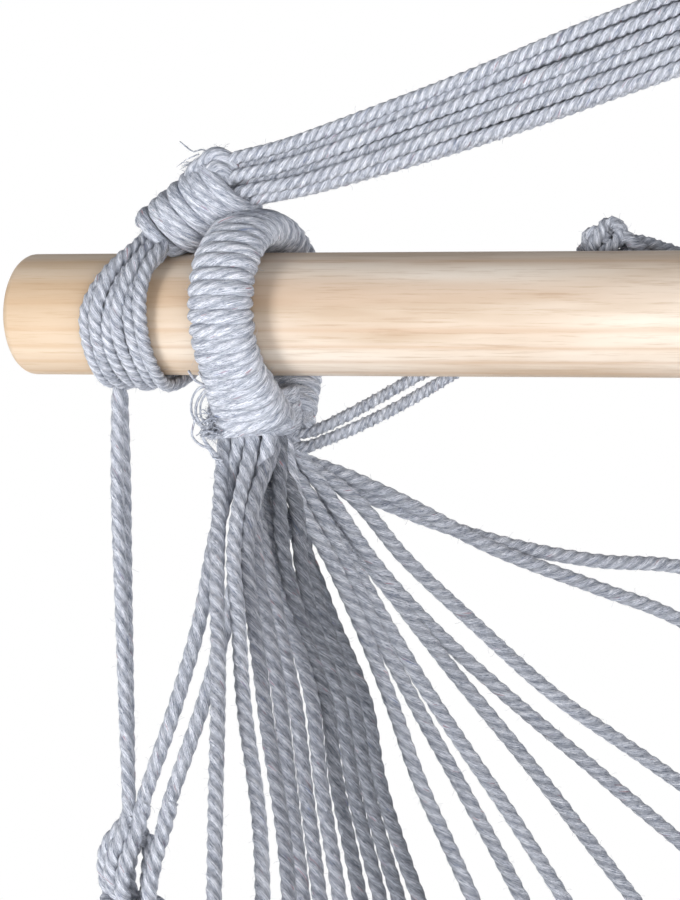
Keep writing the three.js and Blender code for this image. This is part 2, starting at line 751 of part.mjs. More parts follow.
function frontTies(sideName, side) {
  const { inset, depth, drop } = frontKnotPlace;
  const knotMiddle = atBar(side, inset, depth, -drop);
  const knot = new THREE.SphereGeometry(1, cordSides, cordSides - 2);
  knot.rotateX(Math.PI / 2);
  knot.scale(frontKnotHalf.wide, frontKnotHalf.wide, frontKnotHalf.high);
  knot.translate(knotMiddle.x, knotMiddle.y, knotMiddle.z);
  addPiece(`front_knot_${sideName}`, knot, cotton);

  const onKnot = (way, height) => new THREE.Vector3(
    knotMiddle.x + way * halfPitch, knotMiddle.y, knotMiddle.z + height,
  );
  const seat = frontKnotHalf.high + 2 * clearance;
  const hitchTop = bightOuterRadius + clearance + cordRadius;
  const hitch = (way, lower) => {
    const place = atBar(side, tieHitchPlace.inset, tieHitchPlace.depth, -hitchTop - lower);
    place.x += way * halfPitch;
    return place;
  };
  const upper = [
    onKnot(-1, seat), hitch(-1, cordDiameter), hitch(-1, 0).lerp(hitch(1, 0), 1 / 2 - turnShare),
    hitch(-1, 0).lerp(hitch(1, 0), 1 / 2 + turnShare), hitch(1, cordDiameter), onKnot(1, seat),
  ];
  addPiece(`front_tie_upper_${sideName}`, cord(upper), cotton);

  const lower = [
    onKnot(-1, -seat), onKnot(-1, -seat - cordDiameter), ...underHem(side, slitCount - 2),
    onKnot(1, -seat - cordDiameter), onKnot(1, -seat),
  ];
  addPiece(`front_tie_lower_${sideName}`, cord(lower), cotton);

  const going = fanStart(side, knotLegs[0]);
  const coming = fanStart(side, knotLegs[1]).reverse();
  const angle = frontKnotFanAngle * radians;
  const normal = new THREE.Vector3(
    (-side * Math.sin(angle)) / frontKnotHalf.wide, 0, Math.cos(angle) / frontKnotHalf.high,
  ).normalize();
  const turn = knotMiddle.clone().add(new THREE.Vector3(
    -side * frontKnotHalf.wide * Math.sin(angle), 0, frontKnotHalf.high * Math.cos(angle),
  )).addScaledVector(normal, clearance + cordRadius);
  const toThroat = going[1].clone().sub(turn).normalize();
  const beside = (way) => turn.clone().addScaledVector(toThroat, cordDiameter)
    .add(new THREE.Vector3(0, way * halfPitch, 0));
  const nearer = (way) => turn.clone().add(new THREE.Vector3(0, way * turnShare * cordToCord, 0));
  const fanRoute = [...going, beside(-1), nearer(-1), nearer(1), beside(1), ...coming];
  const name = `fan_cord_${sideName}_${String(slitCount / 2).padStart(2, "0")}`;
  addPiece(name, cord(fanRoute), cotton);
}

// Back tie: a doubled cord from each throat, up behind the bar to a knot on top of it, and one
// more from knot to knot behind the bar.

function doubled(route, side) {
  const middles = route.map(([inset, depth, height]) => atBar(side, inset, depth, height));
  const apart = middles.map((point, index) => {
    const before = middles[Math.max(index - 1, 0)];
    const after = middles[Math.min(index + 1, middles.length - 1)];
    const along = after.clone().sub(before).normalize();
    const outward = new THREE.Vector3(0, point.y, point.z + hookDrop).normalize();
    return new THREE.Vector3().crossVectors(along, outward).normalize();
  });
  const strand = (way) => middles.map(
    (point, index) => point.clone().addScaledVector(apart[index], way * halfPitch),
  );
  return [strand(-1), strand(1)];
}

function barKnot(sideName) {
  const { inset, depth, height } = barKnotPlace;
  const knot = new THREE.SphereGeometry(1, cordSides, cordSides - 2);
  knot.rotateZ(Math.PI / 2);
  knot.scale(barKnotHalf.along, barKnotHalf.high, barKnotHalf.high);
  const place = atBar(sideNames[sideName], inset, depth, height);
  knot.translate(place.x, place.y, place.z);
  addPiece(`back_knot_${sideName}`, knot, cotton);
}

function backTies() {
  for (const [sideName, side] of Object.entries(sideNames)) {
    barKnot(sideName);
    const [one, two] = doubled(backTieRoute, side);
    addPiece(`back_tie_${sideName}`, cord([...one, ...two.reverse()]), cotton);
  }
  // The two strands end at the left knot, and join in a turn beside the right one.
  const turnRoute = middleTieRoute.map(([inset, depth, height], index) => (
    [index === 0 ? inset + cordRadius : inset, depth, height]
  ));
  const [leftOne, leftTwo] = doubled(middleTieRoute, sideNames.left);
  const [rightOne, rightTwo] = doubled(turnRoute, sideNames.right)
    .map((points) => points.slice(0, -1).reverse());
  const over = [...leftOne, ...rightTwo];
  const under = [...leftTwo, ...rightOne];
  addPiece("back_tie_middle", cord([...over, ...under.reverse()]), cotton);
}

spreaderBar();
topEye();
for (const sideName of Object.keys(sideNames)) {
  suspension(sideName);
  seatEye(sideName);
}
seatCloth();
for (const sideName of Object.keys(sideNames)) {
  fan(sideName);
}
backTies();

export default chair;
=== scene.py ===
import json
import math
import random

import bmesh
import bpy
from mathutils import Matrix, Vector, noise

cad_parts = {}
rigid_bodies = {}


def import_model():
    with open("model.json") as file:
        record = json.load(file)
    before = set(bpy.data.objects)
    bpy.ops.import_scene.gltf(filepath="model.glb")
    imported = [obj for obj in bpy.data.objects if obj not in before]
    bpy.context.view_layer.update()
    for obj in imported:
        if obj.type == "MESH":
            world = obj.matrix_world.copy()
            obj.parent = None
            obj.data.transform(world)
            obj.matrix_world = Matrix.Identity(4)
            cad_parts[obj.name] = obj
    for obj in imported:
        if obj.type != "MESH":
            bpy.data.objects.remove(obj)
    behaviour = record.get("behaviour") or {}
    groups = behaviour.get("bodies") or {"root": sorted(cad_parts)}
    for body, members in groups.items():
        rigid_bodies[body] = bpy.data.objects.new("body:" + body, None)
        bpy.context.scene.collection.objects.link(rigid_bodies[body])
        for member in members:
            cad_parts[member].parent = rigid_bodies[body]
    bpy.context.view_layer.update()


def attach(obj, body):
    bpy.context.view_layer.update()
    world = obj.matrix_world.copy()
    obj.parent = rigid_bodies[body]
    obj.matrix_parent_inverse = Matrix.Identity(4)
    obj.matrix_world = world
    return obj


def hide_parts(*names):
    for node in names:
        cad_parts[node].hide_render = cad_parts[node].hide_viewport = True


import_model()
scene = bpy.context.scene
sideNames = {"left": -1, "right": 1}
mm = 0.001
# Without a seed, the noise module's vectors start from the clock and differ in each run
noise.seed_set(3)

# The frame's own sizes, in millimetres as in the part's source
chair = {
    "barHalf": 500, "barRadius": 15, "hookDrop": 285, "cordRadius": 1.75, "cordPitch": 3.8,
    "eyeRingRadius": 20.7, "topEyeMiddle": -16.1, "topEyeRadius": 26, "bundleTop": -101.85,
    "edgeReach": 310, "seatDepth": 660, "backCornerDrop": 75, "seatDrop": 495, "sagDepth": 240,
    "slitCount": 20, "foldDepth": 9,
}


# A place by its distance from the bar's end, behind the bar's axis and above it
def atBar(side, inset, depth, height):
    return Vector((side * (chair["barHalf"] - inset), depth, height - chair["hookDrop"])) * mm


# A step to the right in the photograph, towards the viewer and up. The right end mirrors it.
def stepBy(side, right, toward, up, size=mm):
    return Vector((-side * right, -toward, up)) * size


# Camera: level with the bar, and turned towards its left end from the right
cameraSizes = {
    "turn": 27, "distance": 1.37, "focalPixels": 5480, "endAcross": 310, "pitch": 1.42,
    "pixelsHigh": 900, "sensor": 36,
}
cameraTurn = math.radians(cameraSizes["turn"])
photoRight = Vector((math.cos(cameraTurn), math.sin(cameraTurn), 0))
photoAhead = Vector((-math.sin(cameraTurn), math.cos(cameraTurn), 0))


def addCamera(sizes):
    data = bpy.data.cameras.new("closeCamera")
    data.sensor_fit = "VERTICAL"
    data.sensor_height = sizes["sensor"]
    data.lens = sizes["focalPixels"] / sizes["pixelsHigh"] * sizes["sensor"]
    data.clip_end = 60
    camera = bpy.data.objects.new("closeCamera", data)
    scene.collection.objects.link(camera)
    place = atBar(-1, 0, 0, 0) - photoAhead * sizes["distance"]
    camera.location = place + photoRight * (sizes["endAcross"] / sizes["focalPixels"] * sizes["distance"])
    camera.rotation_euler = (math.radians(90 - sizes["pitch"]), 0, cameraTurn)
    scene.camera = camera


addCamera(cameraSizes)


# Helpers for trees. An input takes a value, or a link where it is given a socket.

def colourOf(text):
    channels = [int(text[i:i + 2], 16) / 255 for i in (1, 3, 5)]
    linear = [c / 12.92 if c <= 0.04045 else ((c + 0.055) / 1.055) ** 2.4 for c in channels]
    return (*linear, 1)


def setInputs(tree, made, inputs):
    for name, value in inputs.items():
        socket = made.inputs[name]
        if isinstance(value, bpy.types.NodeSocket):
            tree.links.new(value, socket)
        else:
            socket.default_value = value


def addNode(tree, kind, inputs=None, **settings):
    made = tree.nodes.new(kind)
    for name, value in settings.items():
        setattr(made, name, value)
    setInputs(tree, made, inputs or {})
    return made


def firstOut(tree, kind, inputs=None, **settings):
    return addNode(tree, kind, inputs, **settings).outputs[0]


def calc(tree, operation, *values):
    return firstOut(tree, "ShaderNodeMath", dict(enumerate(values)), operation=operation)


def times(tree, one, two):
    return calc(tree, "MULTIPLY", one, two)


def plus(tree, one, two):
    return calc(tree, "ADD", one, two)


def minus(tree, one, two):
    return calc(tree, "SUBTRACT", one, two)


def divided(tree, one, two):
    return calc(tree, "DIVIDE", one, two)


def vectorCalc(tree, operation, inputs):
    return addNode(tree, "ShaderNodeVectorMath", inputs, operation=operation).outputs


def ranged(tree, value, low, high, toLow=0, toHigh=1, kind="LINEAR"):
    return firstOut(tree, "ShaderNodeMapRange", {
        "Value": value, "From Min": low, "From Max": high, "To Min": toLow, "To Max": toHigh,
    }, interpolation_type=kind)


def mapped(tree, place, scale, location=(0, 0, 0)):
    return firstOut(tree, "ShaderNodeMapping", {"Vector": place, "Location": location, "Scale": scale})


def noiseOf(tree, place, scale, detail, roughness=0.5, distortion=0, output="Fac"):
    return addNode(tree, "ShaderNodeTexNoise", {
        "Vector": place, "Scale": scale, "Detail": detail, "Roughness": roughness, "Distortion": distortion,
    }).outputs[output]


def rampOf(tree, factor, stops):
    made = addNode(tree, "ShaderNodeValToRGB", {"Fac": factor})
    ramp = made.color_ramp
    while len(ramp.elements) < len(stops):
        ramp.elements.new(0.5)
    for element, (place, colour) in zip(ramp.elements, stops):
        element.position = place
        element.color = colourOf(colour)
    return made.outputs["Color"]


def mixColour(tree, factor, one, two):
    inputs = {0: factor, 6: one, 7: two}
    return addNode(tree, "ShaderNodeMix", inputs, data_type="RGBA", clamp_factor=True).outputs[2]


def tinted(tree, base, amount, share, tone):
    return mixColour(tree, times(tree, amount, share), base, colourOf(tone))


def newMaterial(name):
    material = bpy.data.materials.new(name)
    material.use_nodes = True
    tree = material.node_tree
    tree.nodes.clear()
    shader = addNode(tree, "ShaderNodeBsdfPrincipled")
    addNode(tree, "ShaderNodeOutputMaterial", {"Surface": shader.outputs[0]})
    return material, tree, shader


# Cotton: recycled yarn of light, middle and dark fibres. The fibres run nearly along the cord,
# and a rare coloured fibre is spun in. The grooves between the strands are given painted shade.
def cottonMaterial(name, looks):
    material, tree, shader = newMaterial(name)
    place = addNode(tree, "ShaderNodeAttribute", attribute_name="layPlace").outputs["Vector"]
    grooveShade = addNode(tree, "ShaderNodeAttribute", attribute_name="grooveShade").outputs["Fac"]
    across = 1000 / looks["fibre"]
    stretched = mapped(tree, place, (across, across, across / looks["stretch"]))
    fibre = noiseOf(tree, stretched, 1, 4, 0.8, 0.5)
    patch = noiseOf(tree, stretched, 0.13, 2, 0.6)
    share = looks["patchShare"]
    base = rampOf(tree, plus(tree, times(tree, fibre, 1 - share), times(tree, patch, share)), looks["tones"])
    isSpeck = calc(tree, "GREATER_THAN", noiseOf(tree, stretched, 0.4, 0), looks["speckFrom"])
    hue = rampOf(tree, patch, looks["speckTones"])
    base = mixColour(tree, times(tree, isSpeck, looks["speckShare"]), base, hue)
    # Painted shade: the grooves between the strands are darkened towards the groove tone
    base = tinted(tree, base, grooveShade, looks["grooveShadeAmount"], looks["grooveShadeTone"])
    bump = firstOut(tree, "ShaderNodeBump", {
        "Height": fibre, "Strength": looks["bump"], "Distance": looks["fibre"] * mm,
    })
    setInputs(tree, shader, {
        "Base Color": base, "Normal": bump, "Roughness": 0.95, "Specular IOR Level": 0.15,
        "Sheen Weight": looks["sheen"], "Sheen Roughness": 0.6,
    })
    return material


cordLooks = {
    "fibre": 0.23, "stretch": 7, "bump": 1.3, "sheen": 0.1, "grooveShadeAmount": 0.8, "grooveShadeTone": "#5f6572",
    "tones": [(0.4, "#6b7280"), (0.46, "#aeb3c0"), (0.53, "#cfd3dd"), (0.61, "#f6f7fc")],
    "patchShare": 0.12, "speckFrom": 0.79, "speckShare": 0.7,
    "speckTones": [(0.45, "#6f7fa6"), (0.55, "#a86f78")],
}
cordCotton = cottonMaterial("laid cotton cord, marled grey", cordLooks)
# Painted shade: darker copies of the cord's colours for the fan's middle cords, which lie in one another's
# shade
halfShadedCotton = cottonMaterial("laid cotton cord, marled grey, painted half shade", {
    **cordLooks, "grooveShadeTone": "#4c515c",
    "tones": [(0.4, "#575d69"), (0.46, "#8e929d"), (0.53, "#abaeb8"), (0.61, "#d0d2d8")],
})
deepShadedCotton = cottonMaterial("laid cotton cord, marled grey, painted deep shade", {
    **cordLooks, "grooveShadeTone": "#3c4049",
    "tones": [(0.4, "#474c56"), (0.46, "#757983"), (0.53, "#8f939c"), (0.61, "#b6b8bf")],
})
wrapCotton = cottonMaterial("wound cotton cord, marled grey", {
    **cordLooks, "fibre": 0.24, "sheen": 0.12, "grooveShadeAmount": 0.6, "grooveShadeTone": "#747b89",
    "tones": [(0.4, "#767d8b"), (0.46, "#b2b7c4"), (0.53, "#ced2dc"), (0.61, "#f4f5fa")],
})


# Pine: a turned and sanded dowel, oiled thinly. The grain runs along the bar, wavy and faint, and
# the ends are a little darker.
def pineMaterial(name, looks):
    material, tree, shader = newMaterial(name)
    coords = addNode(tree, "ShaderNodeTexCoord").outputs["Object"]
    off = mapped(tree, coords, (0.035, 1, 1), looks["pith"])
    shift = vectorCalc(tree, "MULTIPLY", {0: noiseOf(tree, off, 38, 3, output="Color"), 1: looks["wave"]})[0]
    rings = addNode(tree, "ShaderNodeTexWave", {
        "Vector": vectorCalc(tree, "ADD", {0: off, 1: shift})[0], "Distortion": 1.5, "Detail": 2,
        "Scale": 1 / (looks["ring"] * mm) / 20 * 3.1, "Detail Scale": 1.2,
    }, wave_type="RINGS", rings_direction="X", wave_profile="SIN").outputs["Fac"]
    fine = noiseOf(tree, mapped(tree, coords, (60, 1500, 1500)), 1, 5, 0.65)
    broad = noiseOf(tree, mapped(tree, coords, (11, 90, 90)), 1, 3)
    base = rampOf(tree, broad, looks["tones"])
    base = tinted(tree, base, calc(tree, "POWER", rings, 5), looks["lateWood"], looks["lateTone"])
    base = tinted(tree, base, ranged(tree, fine, 0.52, 0.7), looks["streak"], looks["streakTone"])
    along = addNode(tree, "ShaderNodeSeparateXYZ", {"Vector": coords}).outputs["X"]
    # Darker towards both ends of the bar
    darkerEnds = ranged(tree, calc(tree, "ABSOLUTE", along), 0.42, 0.49, kind="SMOOTHSTEP")
    base = tinted(tree, base, darkerEnds, looks["darkerEnds"], looks["darkerEndTone"])
    bump = firstOut(tree, "ShaderNodeBump", {"Height": fine, "Strength": 0.25, "Distance": 0.0001})
    rough = ranged(tree, fine, 0, 1, looks["roughness"] - 0.06, looks["roughness"] + 0.06)
    setInputs(tree, shader, {
        "Base Color": base, "Normal": bump, "Roughness": rough, "Specular IOR Level": 0.35,
    })
    return material


pine = pineMaterial("pine dowel, sanded and thinly oiled", {
    "ring": 2.3, "roughness": 0.55, "lateWood": 0.42, "streak": 0.5,
    "pith": (0, 0.021, 0.2713), "wave": (0.007, 0.007, 0.007),
    "tones": [(0.34, "#b5a08a"), (0.5, "#c8b9a9"), (0.66, "#d4cabe")],
    "lateTone": "#b39377", "streakTone": "#a1866b",
    "darkerEnds": 0.45, "darkerEndTone": "#b99a72",
})


# Cloth: plain weave of the same marled yarn, thick enough for its threads to show. Light that
# strikes the outside of the sling shows through it, as through any thin cloth.
def clothMaterial(name, looks):
    material, tree, shader = newMaterial(name)
    uv = firstOut(tree, "ShaderNodeUVMap", uv_map="clothMap")
    parts = addNode(tree, "ShaderNodeSeparateXYZ", {"Vector": uv}).outputs
    turns = [times(tree, parts[axis], 1 / (looks["thread"] * mm)) for axis in ("X", "Y")]
    warp, weft = [calc(tree, "ABSOLUTE", calc(tree, "SINE", times(tree, turn, math.pi))) for turn in turns]
    squares = plus(tree, *[calc(tree, "FLOOR", turn) for turn in turns])
    over = calc(tree, "PINGPONG", squares, 1)
    height = plus(tree, times(tree, warp, over), times(tree, weft, minus(tree, 1, over)))
    marl = noiseOf(tree, mapped(tree, uv, (1400, 260, 1)), 1, 3, 0.7)
    slub = noiseOf(tree, mapped(tree, uv, (12, 900, 1)), 1, 2)
    base = rampOf(tree, plus(tree, times(tree, marl, 0.6), times(tree, slub, 0.4)), looks["tones"])
    # Painted shade: the cloth is darker where the threads dip between their crossings
    base = tinted(tree, base, minus(tree, 1, height), looks["gapShadeAmount"], looks["gapShadeTone"])
    bump = firstOut(tree, "ShaderNodeBump", {"Height": height, "Strength": 0.8, "Distance": 0.0005})
    setInputs(tree, shader, {
        "Base Color": base, "Normal": bump, "Roughness": 0.95, "Specular IOR Level": 0.15,
        "Sheen Weight": 0.15, "Subsurface Weight": looks["through"], "Subsurface Radius": (1, 1, 1),
        "Subsurface Scale": looks["throughReach"],
    })
    return material


clothCotton = clothMaterial("plain-woven cotton, marled grey", {
    "thread": 1.3, "tones": [(0.3, "#8b919e"), (0.45, "#adb2be"), (0.58, "#c1c6d0"), (0.72, "#dcdfe6")],
    "gapShadeTone": "#7d8391", "gapShadeAmount": 0.45, "through": 0.5, "throughReach": 0.006,
})
print("materials made")


# Laid cord: a tree that twists strands along a path, and lets short fibres stand off it

def newTree(name, sizes):
    tree = bpy.data.node_groups.new(name, "GeometryNodeTree")
    kinds = {float: "NodeSocketFloat", int: "NodeSocketInt"}
    tree.interface.new_socket("Geometry", in_out="INPUT", socket_type="NodeSocketGeometry")
    for label, value in sizes.items():
        socket = tree.interface.new_socket(label, in_out="INPUT", socket_type=kinds[type(value)])
        socket.default_value = value
    tree.interface.new_socket("Material", in_out="INPUT", socket_type="NodeSocketMaterial")
    tree.interface.new_socket("Geometry", in_out="OUTPUT", socket_type="NodeSocketGeometry")
    return tree, addNode(tree, "NodeGroupInput").outputs, addNode(tree, "NodeGroupOutput")


def captured(tree, geometry, kind, label, value):
    made = tree.nodes.new("GeometryNodeCaptureAttribute")
    made.capture_items.new(kind, label)
    tree.links.new(geometry, made.inputs["Geometry"])
    tree.links.new(value, made.inputs[label])
    return made.outputs["Geometry"], made.outputs[label]


def stored(tree, geometry, kind, label, value):
    return firstOut(tree, "GeometryNodeStoreNamedAttribute", {
        "Geometry": geometry, "Name": label, "Value": value,
    }, data_type=kind, domain="POINT")


def endTree(tree, geometry, material, end):
    real = firstOut(tree, "GeometryNodeSetMaterial", {"Geometry": geometry, "Material": material})
    tree.links.new(real, end.inputs[0])
    return tree


def laidCordTree():
    tree, given, end = newTree("laid cord", {
        "Radius": 0.00175, "Step": 0.0014, "Strands": 3, "Strand Offset": 0.42, "Lay": 0.0068,
        "Lay Drift": 0.8, "Fibre Turn": -0.2, "Sides": 15, "Phase": 0.0, "Hair Density": 60000.0,
        "Hair Length": 0.0016, "Hair Reach": 0.34, "Seed": 1,
    })
    path = firstOut(tree, "GeometryNodeMeshToCurve", {"Mesh": given["Geometry"]})
    path = firstOut(tree, "GeometryNodeResampleCurve", {"Curve": path, "Length": given["Step"]},
                    mode="LENGTH")
    length = addNode(tree, "GeometryNodeSplineParameter").outputs["Length"]
    drift = addNode(tree, "ShaderNodeTexNoise", {
        "W": plus(tree, length, given["Phase"]), "Scale": 45, "Detail": 1,
    }, noise_dimensions="1D").outputs["Fac"]
    twist = times(tree, divided(tree, length, given["Lay"]), 2 * math.pi)
    twist = plus(tree, twist, times(tree, drift, given["Lay Drift"]))
    twist = plus(tree, twist, given["Phase"])
    path, length = captured(tree, path, "FLOAT", "Length", length)
    path, twist = captured(tree, path, "FLOAT", "Twist", twist)
    path = firstOut(tree, "GeometryNodeSetCurveTilt", {"Curve": path, "Tilt": times(tree, twist, -1)})
    girth = firstOut(tree, "GeometryNodeInputNamedAttribute", {"Name": "girth"}, data_type="FLOAT")
    path, scale = captured(tree, path, "FLOAT", "Scale", times(tree, girth, given["Radius"]))

    # A ring of round strands, seen from the end
    ring = firstOut(tree, "GeometryNodeCurvePrimitiveCircle", {"Resolution": given["Sides"], "Radius": 1.0})
    spot = firstOut(tree, "GeometryNodeInputPosition")
    parts = addNode(tree, "ShaderNodeSeparateXYZ", {"Vector": spot}).outputs
    angle = plus(tree, calc(tree, "ARCTAN2", parts["Y"], parts["X"]), math.pi)
    share = calc(tree, "FRACT", divided(tree, times(tree, angle, given["Strands"]), 2 * math.pi))
    fromMiddle = minus(tree, share, 0.5)
    fromStrand = divided(tree, times(tree, fromMiddle, 2 * math.pi), given["Strands"])
    offset = given["Strand Offset"]
    strandRadius = minus(tree, 1, offset)
    sideways = times(tree, offset, calc(tree, "SINE", fromStrand))
    inner = minus(tree, times(tree, strandRadius, strandRadius), times(tree, sideways, sideways))
    reach = plus(tree, times(tree, offset, calc(tree, "COSINE", fromStrand)), calc(tree, "SQRT", inner))
    place = vectorCalc(tree, "SCALE", {0: spot, "Scale": reach})[0]
    ring = firstOut(tree, "GeometryNodeSetPosition", {"Geometry": ring, "Position": place})
    ring, section = captured(tree, ring, "VECTOR", "Section", spot)
    depth = times(tree, calc(tree, "ABSOLUTE", fromMiddle), 2)
    ring, depth = captured(tree, ring, "FLOAT", "Depth", depth)

    skin = firstOut(tree, "GeometryNodeCurveToMesh", {
        "Curve": path, "Profile Curve": ring, "Scale": scale, "Fill Caps": True,
    })
    turned = firstOut(tree, "ShaderNodeVectorRotate", {
        "Vector": vectorCalc(tree, "SCALE", {0: section, "Scale": scale})[0],
        "Angle": times(tree, twist, given["Fibre Turn"]),
    }, rotation_type="Z_AXIS")
    along = firstOut(tree, "ShaderNodeCombineXYZ", {"Z": plus(tree, length, given["Phase"])})
    layPlace = vectorCalc(tree, "ADD", {0: turned, 1: along})[0]
    skin = stored(tree, skin, "FLOAT_VECTOR", "layPlace", layPlace)
    # How far into the groove between strands a point lies, which sets the painted shade there
    skin = stored(tree, skin, "FLOAT", "grooveShade", calc(tree, "POWER", depth, 2.5))
    skin = firstOut(tree, "GeometryNodeSetShadeSmooth", {"Geometry": skin})

    # Fibres: fewer where the cord is far from the end that is seen close up
    here = firstOut(tree, "GeometryNodeInputPosition")
    away = vectorCalc(tree, "DISTANCE", {0: here, 1: atBar(-1, 70, 0, -40)})["Value"]
    near = ranged(tree, away, 0.14, given["Hair Reach"], 1.0, 0.05)
    roots = addNode(tree, "GeometryNodeDistributePointsOnFaces", {
        "Mesh": skin, "Density": times(tree, near, given["Hair Density"]), "Seed": given["Seed"],
    }).outputs
    bent = firstOut(tree, "GeometryNodeCurvePrimitiveBezierSegment", {
        "Resolution": 3, "Start": (0, 0, -0.05), "Start Handle": (0, 0, 0.3),
        "End Handle": (0.05, 0.1, 0.75), "End": (0.4, 0.25, 0.85),
    })
    thin = firstOut(tree, "GeometryNodeCurvePrimitiveCircle", {"Resolution": 3, "Radius": 0.014})
    hair = firstOut(tree, "GeometryNodeCurveToMesh", {"Curve": bent, "Profile Curve": thin})
    lean = firstOut(tree, "FunctionNodeRandomValue", {
        "Min": (0.5, 0, 0), "Max": (1.35, 0, 6.2832), "Seed": given["Seed"],
    }, data_type="FLOAT_VECTOR")
    turn = firstOut(tree, "FunctionNodeRotateRotation", {
        "Rotation": roots["Rotation"],
        "Rotate By": firstOut(tree, "FunctionNodeEulerToRotation", {"Euler": lean}),
    }, rotation_space="LOCAL")
    size = addNode(tree, "FunctionNodeRandomValue", {
        2: 0.4, 3: 1.3, "Seed": given["Seed"],
    }, data_type="FLOAT").outputs[1]
    hairs = firstOut(tree, "GeometryNodeInstanceOnPoints", {
        "Points": roots["Points"], "Instance": hair, "Rotation": turn,
        "Scale": times(tree, size, given["Hair Length"]),
    })
    joined = tree.nodes.new("GeometryNodeJoinGeometry")
    for part in (skin, hairs):
        tree.links.new(part, joined.inputs[0])
    real = firstOut(tree, "GeometryNodeRealizeInstances", {"Geometry": joined.outputs[0]})
    return endTree(tree, real, given["Material"], end)


cordTree = laidCordTree()


# Turns a path into a piece by a tree, and keeps the result as a plain mesh
def convert(name, mesh, tree, values):
    source = bpy.data.objects.new(name + "Path", mesh)
    scene.collection.objects.link(source)
    modifier = source.modifiers.new("tree", "NODES")
    modifier.node_group = tree
    for item in tree.interface.items_tree:
        if item.in_out == "INPUT" and item.name in values:
            modifier[item.identifier] = values[item.name]
    ready = source.evaluated_get(bpy.context.evaluated_depsgraph_get())
    made = bpy.data.meshes.new_from_object(ready)
    bpy.data.objects.remove(source)
    made.name = name
    piece = bpy.data.objects.new(name, made)
    scene.collection.objects.link(piece)
    return piece


def finishPiece(name, mesh, material):
    data = bpy.data.meshes.new(name)
    mesh.to_mesh(data)
    mesh.free()
    data.shade_smooth()
    data.materials.append(material)
    piece = bpy.data.objects.new(name, data)
    scene.collection.objects.link(piece)
    return piece

# A path is a list of points, or of pairs of a point and its girth
def withGirths(path):
    return [item if isinstance(item, tuple) else (item, 1.0) for item in path]


def pathMesh(name, paths):
    mesh = bpy.data.meshes.new(name)
    points, edges, girths = [], [], []
    for path in paths:
        first = len(points)
        for point, girth in withGirths(path):
            points.append(point)
            girths.append(girth)
        edges += [(index, index + 1) for index in range(first, len(points) - 1)]
    mesh.from_pydata(points, edges, [])
    attribute = mesh.attributes.new("girth", "FLOAT", "POINT")
    attribute.data.foreach_set("value", girths)
    return mesh


def cordPiece(name, paths, body, replaced, looks=None):
    seed = sum(map(ord, name))
    phase = float(len(name) * 0.37 + seed % 17)
    values = {"Material": cordCotton, "Phase": phase, "Seed": seed, **(looks or {})}
    piece = convert(name, pathMesh(name, paths), cordTree, values)
    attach(piece, body)
    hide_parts(*replaced)
    return piece


# Corners of a route become short curves, and its straight stretches stay straight
def rounded(route, radius):
    items = withGirths(route)
    path = [items[0]]
    for (before, _), (corner, girth), (after, _) in zip(items, items[1:], items[2:]):
        toBefore, toAfter = before - corner, after - corner
        start = corner + toBefore.normalized() * min(radius, toBefore.length * 0.49)
        stop = corner + toAfter.normalized() * min(radius, toAfter.length * 0.49)
        for step in range(7):
            t = step / 6
            path.append((start * (1 - t) ** 2 + corner * (2 * t * (1 - t)) + stop * t * t, girth))
    path.append(items[-1])
    return path


# Centripetal Catmull-Rom between the middle two of four points, as the part's source draws it
def curveBetween(p0, p1, p2, p3, least):
    d0, d1, d2 = [max((b - a).length ** 0.5, least) for a, b in ((p0, p1), (p1, p2), (p2, p3))]
    t1 = ((p1 - p0) / d0 - (p2 - p0) / (d0 + d1) + (p2 - p1) / d1) * d1
    t2 = ((p2 - p1) / d1 - (p3 - p1) / (d1 + d2) + (p3 - p2) / d2) * d1
    c2 = p1 * -3 + p2 * 3 - t1 * 2 - t2
    c3 = p1 * 2 - p2 * 2 + t1 + t2
    return lambda w: p1 + t1 * w + c2 * w * w + c3 * w ** 3


def withEnds(points):
    return [points[0] * 2 - points[1], *points, points[-1] * 2 - points[-2]]


# A smooth line through the points of a route, in short steps
def smoothed(route, step=0.002):
    items = withGirths(route)
    ends = withEnds([point for point, _ in items])
    path = [items[0]]
    for index, ((one, girthOne), (two, girthTwo)) in enumerate(zip(items, items[1:])):
        curve = curveBetween(*ends[index:index + 4], 1e-5)
        count = max(1, round((two - one).length / step))
        for part in range(1, count + 1):
            w = part / count
            path.append((curve(w), girthOne * (1 - w) + girthTwo * w))
    return path


def wandering(path, size, seed):
    moved = []
    travelled = 0
    for index, (point, girth) in enumerate(path):
        if index:
            travelled += (point - path[index - 1][0]).length
        sway = noise.noise_vector(Vector((travelled * 22, seed * 3.7, 0)))
        moved.append((point + sway * size, girth))
    return moved


def subdivided(path, step):
    points = [path[0]]
    for (one, girthOne), (two, girthTwo) in zip(path, path[1:]):
        count = max(1, round((two - one).length / step))
        for index in range(1, count + 1):
            t = index / count
            points.append((one.lerp(two, t), girthOne + (girthTwo - girthOne) * t))
    return points


# Suspension: six doubled cords on each side, from the top collar through the whipping round the bar
suspensionSizes = {
    "whipInset": 37.8, "whipDepth": -1.5, "whipHeight": 18.3, "whipLength": 24.5, "whipAngle": 33.5,
    "legPitch": 2.7, "endPitch": 2.05, "bendRadius": 11, "bendPitch": 4.05, "collarStart": -90,
    "collarSqueeze": 0.52, "touch": 3.35,
    "open": [(0.86, 3.7, 1), (0.62, 3.5, 3), (0.38, 3.35, 4.2), (0.2, 3.15, 4.1), (0.05, 2.35, 2.5)],
    "bight": [(30, 38.6, 1.9), (50, 36.4, 2.3), (73, 34.5, 2.7), (92, 33.4, 3.05), (115, 33.2, 3.2),
              (143, 33.2, 3.25), (180, 31.8, 3.0)],
}


